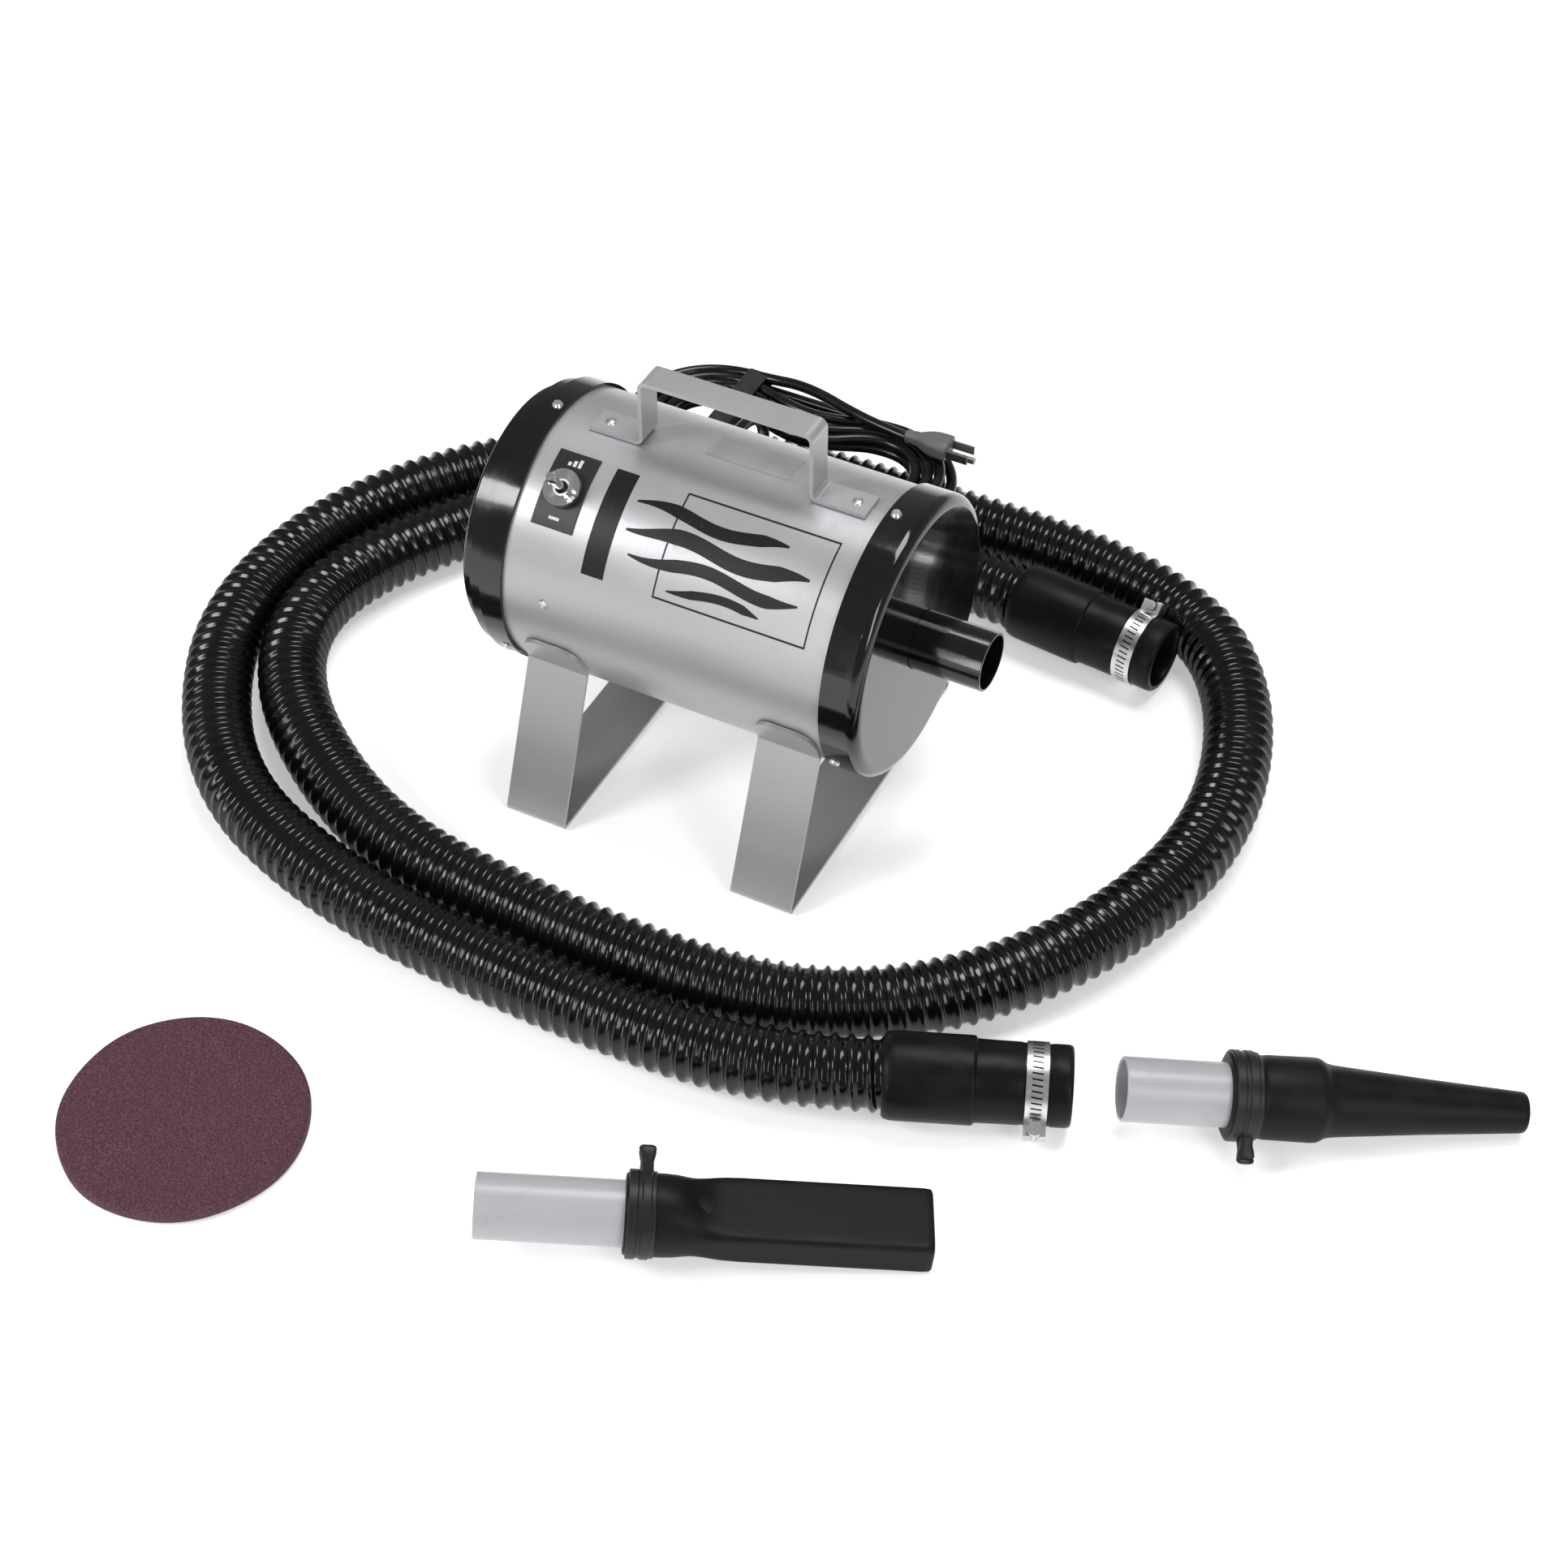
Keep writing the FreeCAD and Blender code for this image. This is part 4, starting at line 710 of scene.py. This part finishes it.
def corrugated_hose():
    """One spiral rib from end to end, as a skin whose rows climb one pitch each turn."""
    line = Line(HOSE_ROUTE)
    bm = bmesh.new()
    rows_per_rib = len(RIB_SHAPE)
    pitch = RIB_PITCH * MM
    rows = int(line.length / pitch * rows_per_rib) + rows_per_rib
    grid = []
    for row in range(rows):
        ring = []
        for side in range(HOSE_SIDES):
            turn = side / HOSE_SIDES
            spot, tangent = line.at((row / rows_per_rib + turn - HOSE_OVERRUN) * pitch)
            across = Vector((0.0, 0.0, 1.0)).cross(tangent).normalized()
            upward = tangent.cross(across)
            radius = (HOSE_RADIUS - RIB_DEPTH * RIB_SHAPE[row % rows_per_rib]) * MM
            angle = turn * math.tau
            ring.append(bm.verts.new(spot + (across * math.cos(angle) + upward * math.sin(angle)) * radius))
        grid.append(ring)
    for row in range(rows - 1):
        for side in range(HOSE_SIDES):
            near, far = grid[row], grid[row + 1]
            if side + 1 < HOSE_SIDES:
                bm.faces.new((near[side], near[side + 1], far[side + 1], far[side]))
            elif row + rows_per_rib + 1 < rows:
                wrapped, beyond = grid[row + rows_per_rib], grid[row + rows_per_rib + 1]
                bm.faces.new((near[side], wrapped[0], beyond[0], far[side]))
    hose = new_piece("hose_skin", bm, "dryer", FINISHES["hose_black"], smooth=None)
    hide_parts("air_hose")
    return hose, line


def cuff_place(letter):
    """Where a cuff starts at the hose, with X towards its mouth."""
    spot, axis, dims = mount(f"cuff_{letter}_socket")
    return facing(spot - axis * (CUFF_LENGTH - SOCKET_DEPTH / 2) * MM, axis)


def rubber_cuff(letter):
    """A moulded sleeve: rounded collar over the hose, a step, and a plain end that takes the clamp."""
    bm = bmesh.new()
    outline = [
        (-6.0, 21.0), (-6.5, 24.2), (-5.0, 25.6), (-2.0, 26.3), (1.0, 26.5), (45.4, 26.5), (46.6, 26.2),
        (47.2, 25.6), (47.5, 24.9), (48.4, 24.7), (60.0, 24.45), (73.5, 24.4), (74.5, 24.1), (75.5, 24.05),
        (90.5, 24.05), (91.5, 24.1), (92.5, 24.4), (101.0, 24.4), (102.9, 23.9), (103.8, 22.9),
        (104.0, 21.6), (103.7, 20.2), (102.5, 19.5), (100.0, 19.2), (52.0, 19.2), (50.0, 16.0),
        (47.0, 13.0),
        (47.0, 0.0),
    ]
    spin_outline(bm, outline, cuff_place(letter), 72)
    rubber = FINISHES["cuff_rubber"]
    cuff = new_piece(f"cuff_sleeve_{letter}", bm, "dryer", rubber, smooth=40.0)
    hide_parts(f"hose_cuff_{letter}")
    return cuff


def band_slots(letter, roll):
    """The slanted slots cut round a worm clamp's band."""
    bm = bmesh.new()
    place = cuff_place(letter)
    count = 44
    radius = 25.3 + 0.06
    for number in range(count):
        angle = math.tau * number / count + math.radians(roll)
        if abs(math.sin((angle - math.radians(roll)) / 2)) < 0.2:
            continue
        corners = []
        for along, swing in ((-3.2, -0.9), (-3.2, 0.1), (3.2, 0.9), (3.2, -0.1)):
            turn = angle + swing / radius
            corners.append(
                bm.verts.new(
                    (
                        (83.0 + along) * MM,
                        -math.sin(turn) * radius * MM,
                        math.cos(turn) * radius * MM,
                    )
                )
            )
        bm.faces.new(corners)
    bmesh.ops.transform(bm, matrix=place, verts=bm.verts[:])
    slots = new_piece(f"band_slots_{letter}", bm, "dryer", FINISHES["cuff_rubber"])
    return slots


def add_hose():
    hose, line = corrugated_hose()
    parts = []
    for letter, roll in (("a", -45.0), ("b", 115.0)):
        parts.append(rubber_cuff(letter))
        parts.append(band_slots(letter, roll))
        parts += [f"clamp_band_{letter}", f"clamp_screw_{letter}"]


# ---- cord, hank, tie and plug ----

CORD_RADIUS = 3.92


def strain_relief():
    """A tapered rubber sleeve with ribs and slots, standing out of the drum's back."""
    bm = bmesh.new()
    low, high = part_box("cord_gland")
    root = Vector(((low[0] + high[0]) / 2, DRUM_RADIUS, (low[2] + high[2]) / 2))
    outline = [(-1.0, 0.0), (-1.0, 11.2), (0.6, 11.4), (2.0, 10.8), (2.4, 9.0)]
    for number in range(6):
        start = 4.0 + number * 4.6
        radius = 8.6 - number * 0.58
        outline += [(start, radius), (start + 2.6, radius - 0.3), (start + 3.0, radius - 1.5)]
        outline += [(start + 4.3, radius - 1.7)]
    outline += [(32.4, 5.4), (33.6, 5.1), (34.0, 4.5), (33.6, 0.0)]
    spin_outline(bm, outline, facing(root, (0.0, 1.0, 0.0)), 40)
    relief = new_piece("strain_relief", bm, "dryer", FINISHES["gland_rubber"])
    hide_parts("cord_gland")
    return relief


def cord_tie():
    """A band of woven tape round the hank."""
    low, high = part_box("cord_tie")
    bm = bmesh.new()
    rings = []
    corner = 6.5 * MM
    half_y = (high[1] - low[1]) / 2 - corner
    half_z = (high[2] - low[2]) / 2 - corner
    middle = (Vector(low) + Vector(high)) / 2
    for along, inset in (
        (low[0], 1.3), (low[0], 0.35), (low[0] + 0.5 * MM, 0.0), (high[0] - 0.5 * MM, 0.0), (high[0], 0.35),
        (high[0], 1.3),
    ):
        ring = []
        for quarter in range(4):
            side_y = 1 if quarter in (0, 3) else -1
            side_z = 1 if quarter in (0, 1) else -1
            for step in range(7):
                angle = math.radians(90.0 * quarter + 15.0 * step)
                radius = corner - inset * MM
                ring.append(
                    Vector(
                        (
                            along,
                            middle.y + side_y * half_y + radius * math.cos(angle),
                            middle.z + side_z * half_z + radius * math.sin(angle),
                        )
                    )
                )
        rings.append(ring)
    rings.append(rings[0])
    loft(bm, rings)
    bmesh.ops.remove_doubles(bm, verts=bm.verts[:], dist=0.00001)
    tie = new_piece("tie_band", bm, "dryer", FINISHES["tie_fabric"], smooth=50.0)
    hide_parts("cord_tie")
    return tie


def plug_shell():
    """A moulded plug: waisted grip, ribbed sides and a flat face that carries the pins."""
    low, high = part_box("plug_body")
    middle = (Vector(low) + Vector(high)) / 2
    length = high[0] - low[0]
    bm = bmesh.new()
    rings = []
    steps = (
        (0.0, 0.34, 0.42), (0.03, 0.42, 0.5), (0.1, 0.46, 0.56), (0.16, 0.44, 0.54), (0.22, 0.5, 0.6),
        (0.28, 0.48, 0.58), (0.34, 0.56, 0.68), (0.44, 0.72, 0.82), (0.56, 0.88, 0.93), (0.7, 0.97, 0.99),
        (0.86, 1.0, 1.0), (0.96, 0.99, 0.99), (0.99, 0.95, 0.95), (1.0, 0.88, 0.88),
    )
    for share, wide, tall in steps:
        ring = []
        for index in range(40):
            angle = math.tau * index / 40
            flat = 0.62
            across = math.copysign(abs(math.cos(angle)) ** flat, math.cos(angle))
            upward = math.copysign(abs(math.sin(angle)) ** flat, math.sin(angle))
            ring.append(
                Vector(
                    (
                        low[0] + length * share,
                        middle.y + across * wide * (high[1] - low[1]) / 2,
                        middle.z + upward * tall * (high[2] - low[2]) / 2,
                    )
                )
            )
        rings.append(ring)
    loft(bm, rings, closed_start=True, closed_end=True)
    shell = new_piece("plug_shell", bm, "dryer", FINISHES["plug_grey"], smooth=40.0)
    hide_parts("plug_body")
    return shell


def add_cord():
    route = LEAD_ROUTE + hank_turns() + TAIL_ROUTE
    data = smooth_curve("mains_lead", route, 10)
    data.bevel_depth = CORD_RADIUS * MM
    data.bevel_resolution = 5
    data.use_fill_caps = True
    data.materials.append(FINISHES["cord_black"])
    lead = bpy.data.objects.new("mains_lead", data)
    bpy.context.collection.objects.link(lead)
    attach(lead, "dryer")
    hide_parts("power_cord", "cord_hank", "cord_tail")
    line = Line(route)
    relief = strain_relief()
    parts = [relief, cord_tie(), plug_shell(), "plug_blade_1", "plug_blade_2", "plug_ground_pin"]


# ---- nozzles ----


def nozzle_place(name):
    """Where a nozzle's pipe opens, with X towards the nozzle's tip."""
    spot, axis, dims = mount(name)
    return facing(spot + axis * dims["length_mm"] / 2 * MM, -axis)


def pipe(name, node, place, length, body):
    """A cut length of pipe with eased rims."""
    bm = bmesh.new()
    outline = [
        (0.9, 17.0), (0.15, 17.5), (0.0, 17.9), (0.15, 18.5),
        (0.7, 19.0), (length, 19.0), (length, 17.0), (0.9, 17.0),
    ]
    spin_outline(bm, outline, place, 72)
    made = new_piece(name, bm, body, FINISHES["pipe_grey"])
    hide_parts(node)


def cone_sleeve(place):
    """The tapered rubber end: collar bands, a plain barrel, a rounded shoulder and a long taper."""
    bm = bmesh.new()
    outline = [
        (61.0, 19.05), (61.0, 23.2), (61.6, 24.3), (62.4, 24.9), (78.0, 25.0), (79.0, 24.5),
        (80.2, 24.2), (82.0, 24.25), (84.0, 24.6), (112.0, 24.9), (114.5, 24.7), (116.4, 24.0),
        (118.0, 22.9), (120.0, 21.9), (123.0, 21.2), (130.0, 20.5), (180.0, 16.3), (230.0, 12.7),
        (236.0, 12.3), (238.0, 12.0), (239.0, 11.2), (239.0, 9.6), (238.0, 8.9), (235.0, 8.8),
        (117.0, 16.9), (86.0, 17.0),
    ]
    spin_outline(bm, outline, place, 72)
    rubber = FINISHES["nozzle_rubber"]
    sleeve = new_piece("cone_sleeve", bm, "cone_nozzle", rubber, smooth=50.0)
    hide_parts("cone_rubber")


def section(along, wide, tall, power, count=64):
    """A ring across X between an ellipse (power 2) and a box (a high power)."""
    ring = []
    for index in range(count):
        angle = math.tau * (index + 0.5) / count
        across = math.copysign(abs(math.cos(angle)) ** (2 / power), math.cos(angle))
        upward = math.copysign(abs(math.sin(angle)) ** (2 / power), math.sin(angle))
        ring.append(Vector((along * MM, across * wide / 2 * MM, upward * tall / 2 * MM)))
    return ring


def flat_sleeve(place):
    """The flat rubber end: round neck, a pinched waist and a long slab with a slot mouth."""
    bm = bmesh.new()
    outer = [
        (84.0, 44.5, 44.5, 2.0), (84.6, 46.0, 46.0, 2.0), (86.0, 47.0, 47.0, 2.0),
        (106.0, 47.0, 47.0, 2.0), (113.0, 46.0, 45.2, 2.05), (118.0, 44.6, 41.6, 2.15),
        (122.0, 43.7, 37.0, 2.4), (126.0, 43.6, 31.6, 3.0), (130.0, 43.9, 27.2, 4.0),
        (134.5, 44.2, 24.6, 5.8), (140.0, 44.5, 23.2, 8.5), (150.0, 44.5, 23.0, 11.0),
        (253.0, 44.5, 23.0, 11.0), (256.5, 44.3, 22.8, 9.0), (257.7, 43.4, 21.9, 7.0),
        (258.0, 42.0, 20.5, 7.0), (257.9, 39.5, 17.9, 7.0), (257.0, 38.4, 16.9, 7.0),
        (254.0, 38.1, 16.6, 7.0), (160.0, 38.1, 16.6, 7.0), (140.0, 36.0, 20.0, 3.0),
        (124.0, 34.0, 34.0, 2.0), (108.0, 34.0, 34.0, 2.0),
    ]
    rings = []
    for along, wide, tall, power in outer:
        rings.append([place @ spot for spot in section(along, wide, tall, power)])
    loft(bm, rings)
    rubber = FINISHES["nozzle_rubber"]
    sleeve = new_piece("flat_sleeve", bm, "flat_nozzle", rubber, smooth=55.0)
    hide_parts("flat_rubber")


def pinch_clamp(name, node, place, start, radius, roll, body):
    """A double plastic ring with toothed ears that are squeezed together."""
    bm = bmesh.new()
    inner = radius
    outline = [
        (start, inner), (start, inner + 1.2), (start + 0.5, inner + 1.7),
        (start + 5.0, inner + 1.7), (start + 5.6, inner + 0.9), (start + 7.6, inner + 0.9),
        (start + 8.2, inner + 1.7), (start + 12.6, inner + 1.7), (start + 13.2, inner + 0.9),
        (start + 15.2, inner + 0.9), (start + 15.8, inner + 0.5), (start + 16.0, inner),
        (start, inner),
    ]
    turn = place @ Matrix.Rotation(math.radians(roll), 4, "X")
    spin_outline(bm, outline, turn, 72)
    for side, tall, lean in ((-1.0, 15.4, 4.0), (1.0, 13.0, -2.5)):
        rings = []
        for share, wide, thick in (
            (-0.1, 9.0, 6.4), (0.12, 8.0, 5.0), (0.4, 7.6, 4.2), (0.7, 9.6, 4.4), (0.88, 10.2, 4.4),
            (0.97, 8.4, 3.6), (1.0, 5.4, 2.2),
        ):
            ring = []
            for step in range(16):
                angle = math.tau * (step + 0.5) / 16
                along = start + 9.6 + wide / 2 * math.copysign(abs(math.cos(angle)) ** 0.6, math.cos(angle))
                across = thick / 2 * math.copysign(abs(math.sin(angle)) ** 0.6, math.sin(angle))
                across += side * 3.1 + lean * share * share
                ring.append(turn @ Vector((along * MM, across * MM, (inner + tall * share) * MM)))
            rings.append(ring)
        loft(bm, rings, closed_start=True, closed_end=True)
    for step in range(4):
        tooth = bmesh.ops.create_cube(bm, size=1.0)["verts"]
        shape = Matrix.Diagonal((6.0 * MM, 2.4 * MM, 0.9 * MM, 1.0))
        spot = Vector(((start + 9.6) * MM, 0.5 * MM, (inner + 4.0 + step * 2.4) * MM))
        bmesh.ops.transform(bm, matrix=turn @ Matrix.Translation(spot) @ shape, verts=tooth)
    clamp = new_piece(name, bm, body, FINISHES["nozzle_clamp_black"])
    soften(clamp, 0.5 * MM)
    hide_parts(node)


def add_nozzles():
    cone = nozzle_place("cone_inlet")
    pipe("cone_pipe", "cone_tube", cone, 85.0, "cone_nozzle")
    cone_sleeve(cone)
    pinch_clamp("cone_pinch_clamp", "cone_clamp", cone, 62.5, 25.0, 115.0, "cone_nozzle")
    flat = nozzle_place("flat_inlet")
    pipe("flat_pipe", "flat_tube", flat, 108.0, "flat_nozzle")
    flat_sleeve(flat)
    pinch_clamp("flat_pinch_clamp", "flat_clamp", flat, 85.5, 23.6, -50.0, "flat_nozzle")


# ---- foam filter ----


def add_foam():
    """A cut disc of open foam with a soft, slightly uneven rim."""
    low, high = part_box("foam_filter")
    middle = centre_of("foam_filter")
    radius = (high[0] - low[0]) / 2
    tall = high[2] - low[2]
    bm = bmesh.new()
    outline = [
        (0.0, 0.0), (0.0, 0.6), (0.0, 0.97), (0.04, 0.985), (0.2, 0.996),
        (0.5, 1.0), (0.8, 0.997), (0.96, 0.985), (1.0, 0.965), (1.0, 0.9),
        (1.0, 0.75), (1.0, 0.5), (1.0, 0.25), (1.0, 0.0),
    ]
    corners = [(height * tall / MM, share * radius / MM) for height, share in outline]
    spot = Vector((middle.x, middle.y, low[2]))
    spin_outline(bm, corners, facing(spot, (0.0, 0.0, 1.0), Vector((1.0, 0.0, 0.0))), 120)
    for vertex in bm.verts:
        across = vertex.co - spot
        turn = math.atan2(across.y, across.x)
        wave = math.sin(turn * 3.0 + 0.6) * 0.5 + math.sin(turn * 7.0 + 2.0) * 0.25 - 0.6
        share = Vector((across.x, across.y)).length / radius
        vertex.co.x += across.x / radius * wave * MM * share
        vertex.co.y += across.y / radius * wave * MM * share
        if across.z > tall * 0.5:
            vertex.co.z += (math.sin(across.x * 90.0) * math.cos(across.y * 70.0) - 1.0) * 0.25 * MM
    foam = new_piece("foam_disc", bm, "foam", FINISHES["foam_maroon"], smooth=60.0)
    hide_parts("foam_filter")


# ---- print on the drum ----


def on_drum(along, angle, lift=PRINT_GAP):
    """A spot on the drum's skin: along X in millimetres, angle in degrees above the switch side's level."""
    swing = math.radians(angle)
    radius = DRUM_RADIUS + lift
    return Vector((along * MM, -radius * math.cos(swing), DRUM_AXIS.z + radius * math.sin(swing)))


def print_strip(bm, left, right, low, high, lift=PRINT_GAP):
    """A printed strip between two edges, each a function of angle that gives a place along X."""
    steps = max(2, int(abs(high - low) / 1.5))
    rows = []
    for step in range(steps + 1):
        angle = low + (high - low) * step / steps
        ends = (on_drum(left(angle), angle, lift), on_drum(right(angle), angle, lift))
        rows.append([bm.verts.new(end) for end in ends])
    for near, far in zip(rows, rows[1:]):
        bm.faces.new((near[0], near[1], far[1], far[0]))


def print_band(bm, start, end, middle, thick, lift=PRINT_GAP):
    """A printed line along the drum whose height is a function of its place along X."""
    steps = 48
    rows = []
    for step in range(steps + 1):
        along = start + (end - start) * step / steps
        half = thick(along) / 2
        angles = [middle(along) + half * part for part in (-1.0, 0.0, 1.0)]
        rows.append([bm.verts.new(on_drum(along, angle, lift)) for angle in angles])
    for near, far in zip(rows, rows[1:]):
        for index in range(2):
            bm.faces.new((near[index], far[index], far[index + 1], near[index + 1]))


def drum_print():
    """A plain generic panel: a bold upright bar, a thin frame and streaming air lines."""
    bm = bmesh.new()
    print_strip(bm, lambda a: -57.3, lambda a: -42.0, 26.0, 70.6)
    for left, right, low, high in (
        (-8.0, 95.0, 69.4, 70.2), (-8.0, 95.0, 26.0, 26.8), (94.0, 95.0, 26.0, 70.2),
        (-8.0, -7.0, 26.0, 70.2),
    ):
        print_strip(bm, lambda a, x=left: x, lambda a, x=right: x, low, high)
    streams = (
        (32.0, 0.0, 62.0, 3.6), (40.5, -30.0, 84.0, 5.2), (50.0, -36.0, 86.0, 6.4), (60.0, -36.0, 66.0, 5.2),
    )
    for level, start, end, thick in streams:

        def middle(along, level=level):
            return level + 1.7 * math.sin((along + level * 2.0) / 13.0)

        def width(along, start=start, end=end, thick=thick):
            share = (along - start) / (end - start)
            return thick * min(1.0, 0.15 + 3.2 * share, 0.15 + 5.0 * (1.0 - share))

        print_band(bm, start, end, middle, width)
    panel = new_piece("drum_print", bm, "dryer", INK)
    return panel


def switch_marks():
    """Rising bars above the switch for the high speed, one short bar below for the low."""
    bm = bmesh.new()
    low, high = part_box("switch_plate")
    middle = (low[0] + high[0]) / 2 / MM
    lift = 1.0 * MM + PRINT_GAP
    for number, (along, tall) in enumerate(((-5.0, 1.6), (-1.6, 2.6), (1.8, 3.6))):
        base = 65.0
        left = middle + along
        print_strip(bm, lambda a, x=left: x, lambda a, x=left: x + 2.2, base, base + tall, lift)
    print_strip(bm, lambda a: middle - 3.6, lambda a: middle + 3.6, 42.6, 43.8, lift)
    new_piece("switch_marks", bm, "dryer", PALE_INK)


def rating_label():
    """A blank foil label on the drum's top."""
    bm = bmesh.new()
    print_strip(bm, lambda a: -14.0, lambda a: 42.0, 91.0, 108.0)
    new_piece("rating_label", bm, "dryer", FOIL)


# ---- floor ----


def add_floor():
    bm = bmesh.new()
    bmesh.ops.create_grid(bm, x_segments=2, y_segments=2, size=30.0)
    mesh = bpy.data.meshes.new("floor")
    bm.to_mesh(mesh)
    bm.free()
    mesh.materials.append(floor_paint())
    floor = bpy.data.objects.new("floor", mesh)
    bpy.context.collection.objects.link(floor)
    floor.location.z = -0.0005


add_camera()
add_lights()
dress_nodes()
add_hose()
add_cord()
add_nozzles()
add_foam()
drum_print()
switch_marks()
rating_label()
add_floor()
